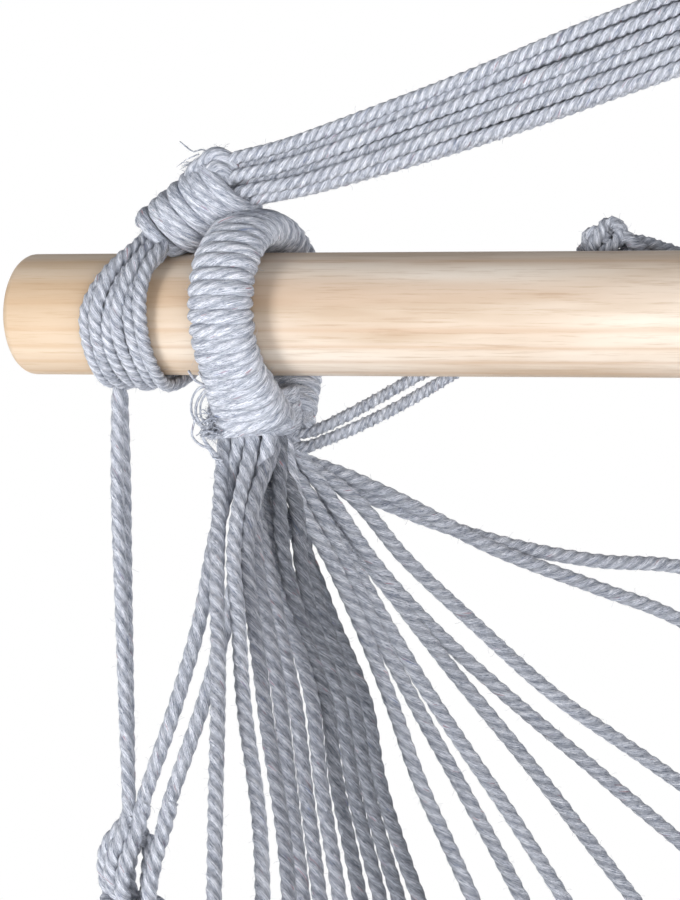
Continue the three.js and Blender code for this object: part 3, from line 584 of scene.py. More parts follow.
def whipPlace(side, distance):
    sizes = suspensionSizes
    angle = math.radians(sizes["whipAngle"])
    forward = sizes["whipDepth"] * (1 - min(max(distance / sizes["whipLength"], 0), 1))
    middle = atBar(side, sizes["whipInset"] + distance * math.cos(angle), forward,
                   sizes["whipHeight"] + distance * math.sin(angle))
    return middle, Vector((side * math.sin(angle), 0, math.cos(angle)))


# Keeps a cord's middle line out of the bar that it rests on
def offBar(point, clearance):
    height = point.z + chair["hookDrop"] * mm
    reach = math.hypot(point.y, height)
    least = (chair["barRadius"] + clearance) * mm
    if 0 < reach < least:
        point = Vector((point.x, point.y * least / reach, height * least / reach - chair["hookDrop"] * mm))
    return point


def bundleLeg(side, index, layer):
    sizes = suspensionSizes
    half = chair["cordPitch"] / 2
    column = half + sizes["bendPitch"]
    bendMiddle = Vector((side * (column + sizes["bendRadius"]), 0, chair["bundleTop"])) * mm
    whipEnd, whipWay = whipPlace(side, sizes["whipLength"])
    across, rise = side * (whipEnd.x - bendMiddle.x), bendMiddle.z - whipEnd.z
    reach = math.hypot(across, rise)
    heading = math.atan2(rise, across) - math.asin(sizes["bendRadius"] * mm / reach)
    pair, outer = index // 2, index % 2 == 0
    place, apart = 1 - pair, 3 if outer else 1

    def legAt(middle, rowWay, row, depth):
        point = middle + rowWay * (row * mm)
        point.y += layer * depth * mm
        return point

    stations = []
    bendRow = place * sizes["bendPitch"]
    top = legAt(Vector((side * column, 0, chair["bundleTop"])) * mm, Vector((side, 0, 0)), bendRow,
                half * apart)
    squeeze = sizes["collarSqueeze"]
    for drop, girth in ((0, 0.8), (5.5, 0.85)):
        stations.append((Vector((top.x * squeeze, top.y * squeeze, (sizes["collarStart"] - drop) * mm)),
                         girth))
    for share in (1, 0.75, 0.5, 0.25, 0):
        angle = heading + (math.pi / 2 - heading) * share
        rowWay = Vector((side * math.sin(angle), 0, math.cos(angle)))
        middle = bendMiddle - rowWay * (sizes["bendRadius"] * mm)
        stations.append((legAt(middle, rowWay, bendRow, half * apart), 1.0))
    bendEnd = middle
    for share, pitch, dip in [*sizes["open"], (-0.004, sizes["endPitch"], 0)]:
        lift = math.sqrt(max(0, sizes["touch"] ** 2 - pitch ** 2))
        way = whipWay.lerp(rowWay, min(max(share * 6, 0), 1)).normalized()
        middle = whipEnd.lerp(bendEnd, share) - Vector((0, 0, dip * mm))
        depth = chair["cordRadius"] + (lift if outer else 0)
        stations.append((legAt(middle, way, (2.5 - index) * pitch, depth), 1.0))
    for distance in (sizes["whipLength"] * 0.5, 2):
        middle, rowWay = whipPlace(side, distance)
        pitch = sizes["legPitch"]
        stations.append((legAt(middle, rowWay, place * pitch, pitch / 2 * apart), 0.9))
    return stations


def suspensionCord(side, index, seed):
    sizes = suspensionSizes
    legs = [bundleLeg(side, index, layer) for layer in (-1, 1)]
    lifted = index % 2 == 1
    bight = []
    for layer, places in ((-1, sizes["bight"]), (1, sizes["bight"][-2::-1])):
        for angle, inset, pitch in places:
            turn = math.radians(angle)
            over = math.sqrt(max(0, sizes["touch"] ** 2 - pitch ** 2)) if lifted else 0
            under = max(0, -math.cos(turn))
            over = (over * 0.8 + 0.18 * math.sin(index * 2.1 + angle * 0.05)) * (1 - 0.55 * under)
            radius = chair["barRadius"] + chair["cordRadius"] + 0.1 + over
            place = inset + (index - 2.5) * pitch + 0.35 * math.sin(angle * 0.06 + seed * 1.7)
            point = atBar(side, place, layer * radius * math.sin(turn), radius * math.cos(turn))
            bight.append((point, 1.09 - 0.14 * under))
    route = smoothed(legs[0] + bight + legs[1][::-1])
    route = [(offBar(point, chair["cordRadius"] - 0.1), girth) for point, girth in route]
    return wandering(route, 0.0005, seed)


for sideName, side in sideNames.items():
    for index in range(6):
        name = f"suspensionCord{sideName.title()}{index + 1}"
        path = suspensionCord(side, index, index + (7 if side > 0 else 0))
        cordPiece(name, [path], "suspension", [f"suspension_cord_{sideName}_{index + 1}"],
                  {"Lay": 0.0085, "Strand Offset": 0.36})
print("suspension cords made")


# Windings: one cord round a core that follows a path
def winding(placeAt, length, turns, halves, lean=0.0, steps=26, seed=0, jitter=0.15, squareness=2.4):
    points = []
    total = int(turns * steps)
    for step in range(total + 1):
        share = step / total
        angle = 2 * math.pi * step / steps
        turn = step / steps
        uneven = jitter * mm * noise.noise(Vector((turn * 0.9, seed, 0)))
        distance = length * share
        c, s = math.cos(angle), math.sin(angle)
        curve = (abs(c) ** squareness + abs(s) ** squareness) ** (-1 / squareness)
        middle, wideWay, deepWay, alongWay = placeAt(distance)
        wide, deep = halves(distance) if callable(halves) else halves
        bulge = 1 + 0.02 * noise.noise(Vector((turn * 1.7, seed + 5, 0)))
        point = middle + wideWay * (wide * mm * c * curve * bulge) + deepWay * (deep * mm * s * curve * bulge)
        point += alongWay * (lean * wide * mm * c * curve + uneven * 4)
        points.append(point)
    return points


whipSizes = {"turns": 7, "pitch": 3.45, "halves": (6.8, 7.4), "cordRadius": 2.15, "lean": -0.26}


def suspensionWhipping(sideName, side):
    sizes = whipSizes
    length = sizes["turns"] * sizes["pitch"] * mm
    angle = math.radians(suspensionSizes["whipAngle"])
    alongWay = Vector((-side * math.cos(angle), 0, math.sin(angle)))

    def placeAt(distance):
        middle, rowWay = whipPlace(side, (distance - length / 2) / mm + suspensionSizes["whipLength"] * 0.5)
        return middle, rowWay, Vector((0, 1, 0)), alongWay

    def halves(distance):
        share = distance / length
        swell = 0.9 * share + 0.35 * noise.noise(Vector((share * 5, side, 3)))
        return sizes["halves"][0] + swell, sizes["halves"][1] + swell * 0.6

    path = winding(placeAt, length, sizes["turns"], halves, sizes["lean"], seed=3 + side, jitter=0.3)
    path = [offBar(point, sizes["cordRadius"] * 0.8) for point in path]
    girths = [0.92 + 0.2 * noise.noise(Vector((i * 0.02, side, 4))) for i in range(len(path))]
    girths = [g * (1.1 if i > len(path) * 0.8 else 1) for i, g in enumerate(girths)]
    cordPiece(f"suspensionWhipping{sideName.title()}", [list(zip(path, girths))], "suspension",
              [f"suspension_whipping_{sideName}"],
              {"Material": wrapCotton, "Radius": sizes["cordRadius"] * mm, "Lay": 0.034, "Strands": 6,
               "Strand Offset": 0.3, "Step": 0.0012, "Hair Density": 90000.0, "Sides": 24, "Lay Drift": 2.0})


# Tie-off: the whipping's end comes up, folds back over itself and ends in loose fibres
knotSizes = {"cordRadius": 2.1, "fibres": 26, "fibreRadius": 0.22}


def suspensionKnot(sideName, side):
    sizes = knotSizes
    middle = atBar(side, 57.6, -3.5, 31.4)

    def at(right, toward, up):
        return middle + stepBy(side, right, toward, up)

    fold = [at(-6.4, 0.5, 0.5), at(-6, 1.8, 3.6), at(-4.2, 2.4, 6.4), at(-1.8, 2, 7.6), at(0.4, 1, 6.6),
            at(1.4, -0.4, 4.2), at(0.8, -1.4, 1.6)]
    band = [at(-9.2, -0.4, -1.2), at(-8.8, 1.4, 1.6), at(-7.2, 2, 4.2), at(-4.8, 1, 5.6), at(-2.6, -0.6, 5.6)]
    inner = [at(-3.8, 1.8, 0.4), at(-3, 3, 3.2), at(-1.4, 2.8, 4.6), at(0.2, 1.6, 3.4), at(0.4, 0.4, 1)]
    paths = [wandering(smoothed(route, 0.001), 0.0006, turn) for turn,
             route in enumerate((fold, band, inner))]
    looks = {"Material": wrapCotton, "Radius": sizes["cordRadius"] * mm, "Lay": 0.02, "Strands": 5,
             "Strand Offset": 0.3, "Step": 0.0008, "Sides": 20, "Hair Density": 420000.0,
             "Hair Length": 0.0022}
    cordPiece(f"suspensionKnot{sideName.title()}", paths, "suspension", [f"suspension_knot_{sideName}"],
              looks)

    rng = random.Random(11 + side)
    fibres = [smoothed([at(-4.4, 0.5, 8.2), at(-6.4, 0.8, 8.9), at(-8.6, 1, 8.4), at(-10.6, 1, 9.6),
                        at(-12.4, 1, 10.9)],
                       0.0006)]
    for index in range(sizes["fibres"]):
        root = at(-5.4 + rng.uniform(-1.5, 1.2), rng.uniform(0, 2.6), 6.4 + rng.uniform(-3.4, 1.4))
        reach = rng.uniform(3, 6.4)
        fall = rng.uniform(-0.75, 0.05)
        bend = rng.uniform(-0.25, 0.25)
        route = []
        for step in range(5):
            t = step / 4
            drift = Vector((side * reach * t, -rng.uniform(-0.4, 0.6) * t, reach * t * (fall + bend * t)))
            route.append((root + drift * mm, 1.15 - 0.85 * t))
        fibres.append(smoothed(route, 0.0006))
    cordPiece(f"looseFibres{sideName.title()}", fibres, "suspension", [],
              {"Radius": sizes["fibreRadius"] * mm, "Step": 0.0006, "Sides": 6, "Strands": 2,
               "Strand Offset": 0.25, "Lay": 0.003, "Hair Density": 900000.0, "Hair Length": 0.0009})


for sideName, side in sideNames.items():
    suspensionWhipping(sideName, side)
    suspensionKnot(sideName, side)
print("whippings made")


# Seat eye: a close winding round the cords that go over the bar, down to the collar
seatEyeSizes = {"inset": 65.3, "turns": 41, "halves": (6.9, 3.1), "cordRadius": 2.1, "bendAngle": 140,
                "legRun": 12.5, "backPinch": 0.3, "swellWide": 1.6, "swellDeep": 2.2}


def eyeWay(side, distance):
    sizes = seatEyeSizes
    angleEnd = math.radians(sizes["bendAngle"])
    ring = chair["eyeRingRadius"]
    arc = 2 * angleEnd * ring
    along = distance / mm - sizes["legRun"]
    beyond = max(-along, along - arc, 0)
    angle = min(max(along / ring - angleEnd, -angleEnd), angleEnd)
    radial = Vector((0, -math.sin(angle), math.cos(angle)))
    tangent = Vector((0, -math.cos(angle), -math.sin(angle)))
    middle = atBar(side, sizes["inset"] - 1.2 * math.cos(angle), 0, 0) + radial * (ring * mm)
    if beyond:
        way = -1 if along < 0 else 1
        aim = Vector((0, math.sin(angle) * ring * 0.8, -13)).normalized()
        middle += aim * (beyond * mm)
        tangent = aim * way
        out = Vector((0, tangent.z, -tangent.y))
        radial = out if out.dot(radial) > 0 else -out
    return middle, Vector((1, 0, 0)), radial, tangent


def seatEye(sideName, side):
    sizes = seatEyeSizes
    arc = 2 * math.radians(sizes["bendAngle"]) * chair["eyeRingRadius"]
    whole = (arc + 2 * sizes["legRun"]) * mm

    def halves(distance):
        fromEnd = min(distance, whole - distance) / mm
        swell = max(0, 1 - fromEnd / sizes["legRun"] / 1.3)
        behind = math.sin(math.pi * min(max(1 - distance / whole * 2, 0), 1))
        pinch = 1 - sizes["backPinch"] * behind * 0.5
        return ((sizes["halves"][0] + sizes["swellWide"] * swell) * pinch,
                (sizes["halves"][1] + sizes["swellDeep"] * swell) * (1 - sizes["backPinch"] * behind))

    path = winding(lambda d: eyeWay(side, d), whole, sizes["turns"], halves, seed=2 + side, jitter=0.2,
                   lean=0.09, steps=30)
    path = [offBar(point, sizes["cordRadius"] * 0.62) for point in path]
    girths = []
    for index, point in enumerate(path):
        fromAxis = math.hypot(point.y, point.z + chair["hookDrop"] * mm) / mm
        slim = 0.6 + 0.4 * min(max((fromAxis - 15.5) / 8, 0), 1)
        girths.append(slim * (1 + 0.14 * noise.noise(Vector((index * 0.035, side, 8)))))
    cordPiece(f"seatEyeWrap{sideName.title()}", [list(zip(path, girths))], "seat",
              [f"seat_eye_wrap_{sideName}"],
              {"Material": wrapCotton, "Radius": sizes["cordRadius"] * mm, "Lay": 0.027, "Strands": 5,
               "Strand Offset": 0.31, "Step": 0.0012, "Hair Density": 90000.0, "Sides": 20, "Lay Drift": 2.0})
    strands = []
    for row in range(-2, 3):
        strand = []
        for step in range(61):
            middle, wideWay, _, _ = eyeWay(side, whole * step / 60)
            strand.append(offBar(middle + wideWay * (row * 2.6 * mm), 2))
        strands.append(strand)
    cordPiece(f"seatEyeCords{sideName.title()}", strands, "seat", [f"seat_eye_core_{sideName}"],
              {"Radius": 0.0024, "Step": 0.002, "Hair Density": 0.0})


# Collar: a long thin winding that climbs to the right, over the throat of the eye
collarSizes = {"inset": 63.4, "turns": 15, "top": -19.2, "bottom": -28.8, "halves": (10.0, 9.2),
               "cordRadius": 1.15, "lean": 0.14, "swell": 0.8}


def collar(name, middleAt, sizes, body, replaced, seed):
    length = (sizes["top"] - sizes["bottom"]) * mm
    leanWay = photoRight
    layers = []
    for layer, (lean, grow) in enumerate(((0.05, -1.2), (sizes["lean"], 0), (sizes["lean"] * 1.3, 0.35))):
        points = []
        turns = sizes["turns"] - layer * 3
        total = int(turns * 28)
        for step in range(total + 1):
            share = step / total
            swing = 0.5 - 0.5 * math.cos(math.pi * share * 2)
            angle = 2 * math.pi * step / 28 + layer
            drop = sizes["top"] * mm - length * (share if layer < 2 else 0.1 + 0.8 * swing)
            flare = grow + sizes.get("swell", 0) * (share if layer < 2 else swing)
            wide = sizes["halves"][0] + flare
            deep = sizes["halves"][1] + flare
            offset = Vector((wide * math.cos(angle), deep * math.sin(angle), 0)) * mm
            offset.z = lean * offset.dot(leanWay) * (1 if layer else 0.2)
            uneven = noise.noise_vector(Vector((step * 0.045, seed, layer))) * 0.0005
            points.append(middleAt(drop) + offset + uneven)
        layers.append(points)
    cordPiece(name, layers, body, replaced,
              {"Material": wrapCotton, "Radius": sizes["cordRadius"] * mm, "Lay": 0.014, "Strands": 4,
               "Strand Offset": 0.3, "Step": 0.0012, "Hair Density": 170000.0, "Sides": 12,
               "Hair Length": 0.0022})


# Loose threads: the collar's own thread ends, looped beside it and fraying into a tuft
def looseThreads(sideName, side):
    rng = random.Random(5 + side)
    start = atBar(side, 56.2, -12, -17.2)
    turns = [
        [(-4.4, 0, 3.3), (-3, 0, 1.4), (-1.4, 0, 0.4), (1.4, 1, -0.4), (4, 2, -1)],
        [(2, 0, -0.4), (-1.6, 0, -0.8), (-3.6, 0, -3.6), (-3.5, 0, -7.4), (-1.6, 0, -9.6), (1.6, 1, -10.4)],
        [(2.4, 0.4, 0.2), (-0.6, 0, -2), (-2.6, -0.4, -4.8), (-2.4, 0, -8), (0.4, 0, -11), (3, 1, -12)],
        [(3, 1, 1), (0.8, 0, -1.6), (-1.4, -0.6, -4.4), (-1.2, -0.4, -8), (1, 0, -10.4)],
        [(0.6, 0.6, 0.4), (-1.8, 0, 3.4), (-0.4, 0, 1.6), (1.6, 1, 3.2)],
        [(-2.6, 0, -8.6), (-3.4, 0, -12.4), (-1.2, 0, -14.6), (1.2, 0, -15.6), (2.4, -0.4, -17.8),
         (4.4, -1, -18.4)],
        [(1, 0, -9), (-0.4, 0, -13), (2, 0, -16), (3.4, 0, -17.4)],
    ]
    paths = []
    for index, turn in enumerate(turns):
        route = [start + stepBy(side, *place) for place in turn]
        thick = 0.9 + 0.4 * rng.random()
        paths += [[(p, thick) for p, _ in wandering(smoothed(route, 0.0008), 0.0004, index + 3 + twin * 0.3)]
                  for twin in range(2)]
    for index in range(60):
        root = start + stepBy(side, rng.uniform(0.8, 4.4), rng.uniform(-2, 1), rng.uniform(-12.5, -6.4))
        reach = Vector((side * rng.uniform(0.6, 3.4), -rng.uniform(-0.5, 1.6), rng.uniform(-2.6, 1.2)))
        curl = Vector((0, rng.uniform(-0.8, 0.8), rng.uniform(-1.2, 1.2)))
        route = [root, root + (reach * 0.5 + curl) * mm, root + reach * mm]
        paths.append([(p, 0.55) for p, _ in smoothed(route, 0.0008)])
    cordPiece(f"looseThreads{sideName.title()}", paths, "seat", [],
              {"Material": wrapCotton, "Radius": 0.0003, "Step": 0.0008, "Sides": 5, "Strands": 2,
               "Strand Offset": 0.15, "Lay": 0.004, "Hair Density": 60000.0, "Hair Length": 0.0014})


for sideName, side in sideNames.items():
    seatEye(sideName, side)
    axis = atBar(side, collarSizes["inset"], 0, chair["hookDrop"])
    collar(f"seatCollar{sideName.title()}", lambda drop: axis + Vector((0, 0, drop - chair["hookDrop"] * mm)),
           collarSizes, "seat", [f"seat_collar_{sideName}"], seed=4 + side)
    looseThreads(sideName, side)
print("seat eyes made")


# Cloth: the same shape rules as the part's sheet
edgeShares = [(0.335, 0), (0.338, 0.253), (0.31, 0.515), (0.232, 0.758), (0.088, 0.929),
              (-0.117, 1), (-0.329, 0.98), (-0.526, 0.889), (-0.662, 0.758)]
sagShares = [(0.25, 0.81), (0.4, 0.79), (0.44, 0.81), (0.33, 0.9), (0.15, 0.98),
             (0, 1), (-0.08, 0.98), (-0.125, 0.9), (-0.08, 0.79)]


def shareCurve(shares, backSize, dropSize, firstDrop):
    points = [Vector((0, back * backSize, -firstDrop - drop * dropSize)) for back, drop in shares]
    ends = withEnds(points)

    def at(share):
        place = min(max(share, 0), 1) * (len(points) - 1)
        index = min(int(place), len(points) - 2)
        return curveBetween(*ends[index:index + 4], 1e-4)(place - index)

    return at


edgeAt = shareCurve(edgeShares, chair["seatDepth"], chair["seatDrop"],
                    chair["hookDrop"] + chair["backCornerDrop"])
sagAt = shareCurve(sagShares, chair["sagDepth"], chair["sagDepth"], 0)


def smoothCloth(forward, across):
    point = edgeAt(forward) + sagAt(forward) * (1 - across * across)
    point.x = across * chair["edgeReach"]
    return point


def clothUp(forward, across):
    small = 0.001
    ahead = smoothCloth(min(forward + small, 1), across) - smoothCloth(max(forward - small, 0), across)
    aside = smoothCloth(forward, across + small) - smoothCloth(forward, across - small)
    return -aside.normalized().cross(ahead.normalized()).normalized()


def clothPoint(forward, across, smooth=False):
    phase = (forward * chair["slitCount"] / 2) % 1
    wave = abs(phase - 0.5) * 4 - 1
    if smooth:
        wave = math.cos(2 * math.pi * phase) * 0.92
    lift = -wave * chair["foldDepth"] * abs(across) ** 3
    return smoothCloth(forward, across) + clothUp(forward, across) * lift


# The slits' middle line, as a share of the way from the seat's middle to its side
slitLine = 0.98


def slitPlace(side, forward):
    return clothPoint(forward, side * slitLine), clothUp(forward, side * slitLine)


# Fan: doubled seat cords from the throat down through the slits and under the hem. The legs leave
# the collar in five columns from back to front. The pair at the back is slack.
fanSizes = {
    "inset": 64.6, "rowPitch": 4.9, "columnPitch": 3.9, "startDrop": 31, "squeeze": 0.82,
    "hemReach": 5.35, "knotLegs": [17, 19], "lastLegs": [18, 16],
    "bows": {
        0: [(0.1, 0, 0, -3), (0.17, 0, 0, -4.4), (0.28, 0, 0, -4.6), (0.4, 0, 0, -1.2), (0.5, 0, 0, 4.2),
            (0.72, 0, 0, 4)],
        1: [(0.1, 0, 0, 2.5), (0.16, 0, 0, 3.9), (0.27, 0, 0, 5.4), (0.39, 0, 0, 9.6), (0.48, 0, 0, 13.4),
            (0.72, 0, 0, 10)],
        2: [(0.085, 1, 0), (0.17, -5, 0), (0.26, -8.5, 0), (0.38, -10.4, 0), (0.5, -7, 0), (0.64, -4, 0)],
        3: [(0.065, -4, 2.4), (0.13, -8, 1.2), (0.2, -8.8, 0), (0.29, -6, 0), (0.38, -2, 0), (0.48, 3.4, 0),
            (0.72, 3, 0)],
        4: [(0.053, 6, -3), (0.11, 6.8, -1.6), (0.235, 6.3, 0), (0.385, 6.4, 0), (0.7, 3, 0)],
        5: [(0.045, 4, -1.4), (0.09, 4, -0.8), (0.14, 2.6, 0), (0.2, 1.8, 0), (0.32, 2.9, 0), (0.6, 1.5, 0)],
        6: [(0.04, 2, 0.4), (0.08, 2, 0.2), (0.12, 1, 0), (0.17, 1, 0), (0.24, 2.1, 0), (0.6, 1, 0)],
        7: [(0.034, -3.2, 2), (0.07, -1.4, 1.4), (0.15, -2.2, 0), (0.2, -3.6, 0), (0.25, -3.1, 0),
            (0.6, -1, 0)],
        8: [(0.032, 4, -2.6), (0.064, 6.4, -2.2), (0.096, 6.2, -1), (0.14, 6.3, 0), (0.18, 2.3, 0),
            (0.224, 0.8, 0)],
        9: [(0.029, 6.2, -1.2), (0.06, 4.4, -1), (0.09, 3.4, -0.4), (0.13, 4.3, 0), (0.17, 1.4, 0),
            (0.21, 0.1, 0)],
        10: [(0.028, 3.2, 0.4), (0.056, 0.8, 0.4), (0.084, 0, 0.2), (0.12, 1.8, 0), (0.16, -0.4, 0),
             (0.2, -0.9, 0)],
        11: [(0.027, -3, 1.6), (0.054, -4.5, 1.6), (0.08, -3.6, 0.8), (0.12, -1, 0), (0.15, -2.5, 0),
             (0.19, -2.6, 0)],
        12: [(0.026, 5.6, -2.2), (0.053, 6.9, -1.6), (0.08, 7, -0.6), (0.115, 9, 0), (0.15, 8.2, 0),
             (0.18, 8, 0), (0.5, 5, 0)],
        13: [(0.05, 1.6, -0.8), (0.08, 3.2, -0.4), (0.114, 5, 0), (0.148, 5.4, 0), (0.182, 6, 0),
             (0.5, 4, 0)],
        14: [(0.026, -1.6, 1.2), (0.053, -2.4, 1), (0.08, -1, 0.4), (0.114, 1.2, 0), (0.182, 3.7, 0),
             (0.5, 3, 0)],
        15: [(0.027, -5, 3.5), (0.053, -6.8, 3), (0.08, -5.2, 1.5), (0.115, -2.8, 0), (0.184, 1.7, 0),
             (0.5, 1.5, 0)],
        18: [(0.028, -3, 1), (0.055, -4.2, 1), (0.082, -2.3, 0.4), (0.118, 0, 0), (0.188, 5.2, 0),
             (0.5, 3.5, 0)],
        16: [(0.06, 0.5, 0), (0.19, 4.7, 0), (0.5, 3, 0)],
    },
}
fanOrder = [*range(16), *fanSizes["lastLegs"]]


def fanStart(side, leg):
    sizes = fanSizes
    column, row = divmod(leg, 4)
    inset = (row - 1.5) * sizes["rowPitch"]
    depth = (2 - column) * sizes["columnPitch"]
    start = []
    for share, lower, girth in ((sizes["squeeze"] * 0.86, -6, 0.9), (sizes["squeeze"], 0, 1.0)):
        start.append((atBar(side, sizes["inset"] + inset * share, depth * share,
                            -sizes["startDrop"] - lower), girth))
    return start


# A cord comes down through one slit, passes under the hem and comes up through the next one
def underHem(side, firstSlit):
    reach = fanSizes["hemReach"]
    route = []
    for place, reaches in ((0.5, (reach, -reach)), (1, (-reach,)), (1.5, (-reach, reach))):
        point, up = slitPlace(side, (firstSlit + place) / chair["slitCount"])
        route += [((point + up * away) * mm, 1.0) for away in reaches]
    return route


def bowed(side, start, stop, leg):
    aside = Vector((-side * photoRight.x, photoRight.y, 0))
    near = Vector((side * photoAhead.x, -photoAhead.y, 0))
    path = []
    for share, right, toward, *rise in fanSizes["bows"][leg]:
        way = aside * right + near * toward + Vector((0, 0, sum(rise)))
        path.append((start.lerp(stop, share) + way * mm, 1.0))
    return path


def fanCord(side, pair, seed):
    one, two = fanOrder[2 * pair], fanOrder[2 * pair + 1]
    going, coming = fanStart(side, one), fanStart(side, two)
    hem = underHem(side, 2 * pair)
    descent = smoothed(going + bowed(side, going[-1][0], hem[0][0], one) + hem[:1], 0.004)
    ascent = smoothed(coming + bowed(side, coming[-1][0], hem[-1][0], two) + hem[-1:], 0.004)
    under = rounded([descent[-2], *hem, ascent[-2]], 0.009)
    return wandering(descent[:-2] + subdivided(under, 0.003) + ascent[-3::-1], 0.0008, seed)


fanLooks = {"Radius": 0.00195, "Lay": 0.0122, "Strand Offset": 0.32}
# Painted shade: the fan's middle pairs take the darker copies of the cord's colours
fanPaintedShades = {4: deepShadedCotton, 5: deepShadedCotton, 6: halfShadedCotton, 7: halfShadedCotton}
for sideName, side in sideNames.items():
    for pair in range(9):
        looks = {**fanLooks, "Material": fanPaintedShades.get(pair, cordCotton)}
        cordPiece(f"fanCord{sideName.title()}{pair + 1:02d}",
                  [fanCord(side, pair, pair + (20 if side > 0 else 0))],
                  "seat", [f"fan_cord_{sideName}_{pair + 1:02d}"], looks)
print("fan cords made")


# Front ties: a cord hung from the bar, and the last fan cord, meet in a knot. The knot's strands
# are listed as places to the right, towards the viewer and up from its middle.
tieSizes = {
    "knot": {"inset": 41.5, "depth": -20, "drop": 134}, "hitchInset": 25.6,
    "legBow": [(0.25, 0.6), (0.5, 2.4), (0.75, 2)],
    "legEnds": {17: [(3.1, 1.6, 15), (2, 3, 9)], 19: [(9.6, 0, 15.6), (8.2, 1, 9)]},
}
frontKnotStrands = [
    [(-1.4, 1, 12), (-3.2, 3, 8.6), (-5.6, 3.6, 5.4), (-7.2, 3, 1), (-7.3, 2, -4), (-6, 1.4, -8),
     (-2, 0, -11),
     (1.5, -2, -8), (2.4, -3.4, -2), (1.4, -3.6, 4), (-1, -2.4, 9)],
    [(-0.6, 2.4, 11.4), (-2, 4.4, 6.6), (-3.9, 5, 1.6), (-4.2, 4.8, -4), (-2.8, 3.4, -9.4), (-1.8, 1, -14)],
    [(3.1, 1.6, 14.8), (2, 3, 9), (0.8, 4.6, 4), (-0.4, 5.6, -1.6), (-1, 5.2, -7), (0.4, 3, -11.5),
     (1.9, 0.6, -15)],
    [(9.6, 0, 15.6), (8.2, 1, 9), (6.6, 2.2, 2), (5.6, 3.2, -4), (4.8, 2.6, -9), (2, 0.4, -12),
     (-2.6, -2.4, -9),
     (-4, -3, -2), (-2, -2.6, 5)],
    [(4.6, -1.6, 7), (3.6, -0.6, 2), (3, -0.4, -4), (2, -1.6, -9)],
    [(-8, -1, -8.6), (-6.4, 3.4, -9.4), (-1.4, 6.2, -11), (4, 4.6, -11.8), (6.8, 0.4, -11.2), (4, -3.6, -10),
     (-2, -4.8, -9), (-7, -3.4, -8.4), (-8.2, 0.6, -11.6), (-4.6, 4.8, -13.2), (1.6, 5.2, -14.4),
     (5.4, 1.4, -14.2)],
]


def strandsAt(middle, side, strands, seed, size=1.0):
    paths = []
    for index, strand in enumerate(strands):
        route = [middle + stepBy(side, *place, size * mm) for place in strand]
        paths.append(wandering(smoothed(route, 0.0012), 0.0003, seed + index))
    return paths


def frontTies(sideName, side):
    place = tieSizes["knot"]
    title = sideName.title()
    middle = atBar(side, place["inset"], place["depth"], -place["drop"])
    half = chair["cordPitch"] / 2
    top = atBar(side, tieSizes["hitchInset"], 0, -chair["barRadius"] - 5.2)
    entry = middle + Vector((side * 1.4, -1.4, 12)) * mm

    def strand(way):
        points = []
        for step in range(31):
            t = step / 30
            turn = math.radians(12 + 12 * math.sin(t * 5))
            apart = (photoAhead * math.cos(turn) + photoRight * math.sin(turn)) * (way * half * 0.86 * mm)
            points.append(top.lerp(entry, t) + apart)
        return points

    crown = top + Vector((0, 0, 2.2)) * mm
    path = [(p, 1.0) for p in strand(-1)[::-1] + [crown] + strand(1)]
    cordPiece(f"frontTieUpper{title}", [wandering(smoothed(path, 0.004), 0.0007, 3 + side)], "seat",
              [f"front_tie_upper_{sideName}"], {"Lay": 0.0135, "Strand Offset": 0.32})
    ends = [[(middle + Vector((way * half, 0, -drop)) * mm, 1.0) for drop in (11, 20)] for way in (-1, 1)]
    route = rounded(ends[0] + underHem(side, chair["slitCount"] - 2) + ends[1][::-1], 0.009)
    cordPiece(f"frontTieLower{title}", [wandering(subdivided(route, 0.004), 0.0007, 5 + side)],
              "seat", [f"front_tie_lower_{sideName}"])
    legs = []
    for leg in fanSizes["knotLegs"]:
        start = fanStart(side, leg)
        end = [middle + stepBy(side, *place) for place in tieSizes["legEnds"][leg]]
        between = [start[-1][0].lerp(end[0], share) + stepBy(side, right, 1, 0)
                   for share, right in tieSizes["legBow"]]
        legs.append(wandering(smoothed(start + between + end, 0.004), 0.0008, 9 + side + leg))
    cordPiece(f"fanCord{title}10", legs, "seat", [f"fan_cord_{sideName}_10"], fanLooks)
    cordPiece(f"frontKnot{title}", strandsAt(middle, side, frontKnotStrands, 4), "seat",
              [f"front_knot_{sideName}"],
              {"Radius": 0.00205, "Hair Density": 90000.0, "Lay": 0.0105, "Step": 0.0011})


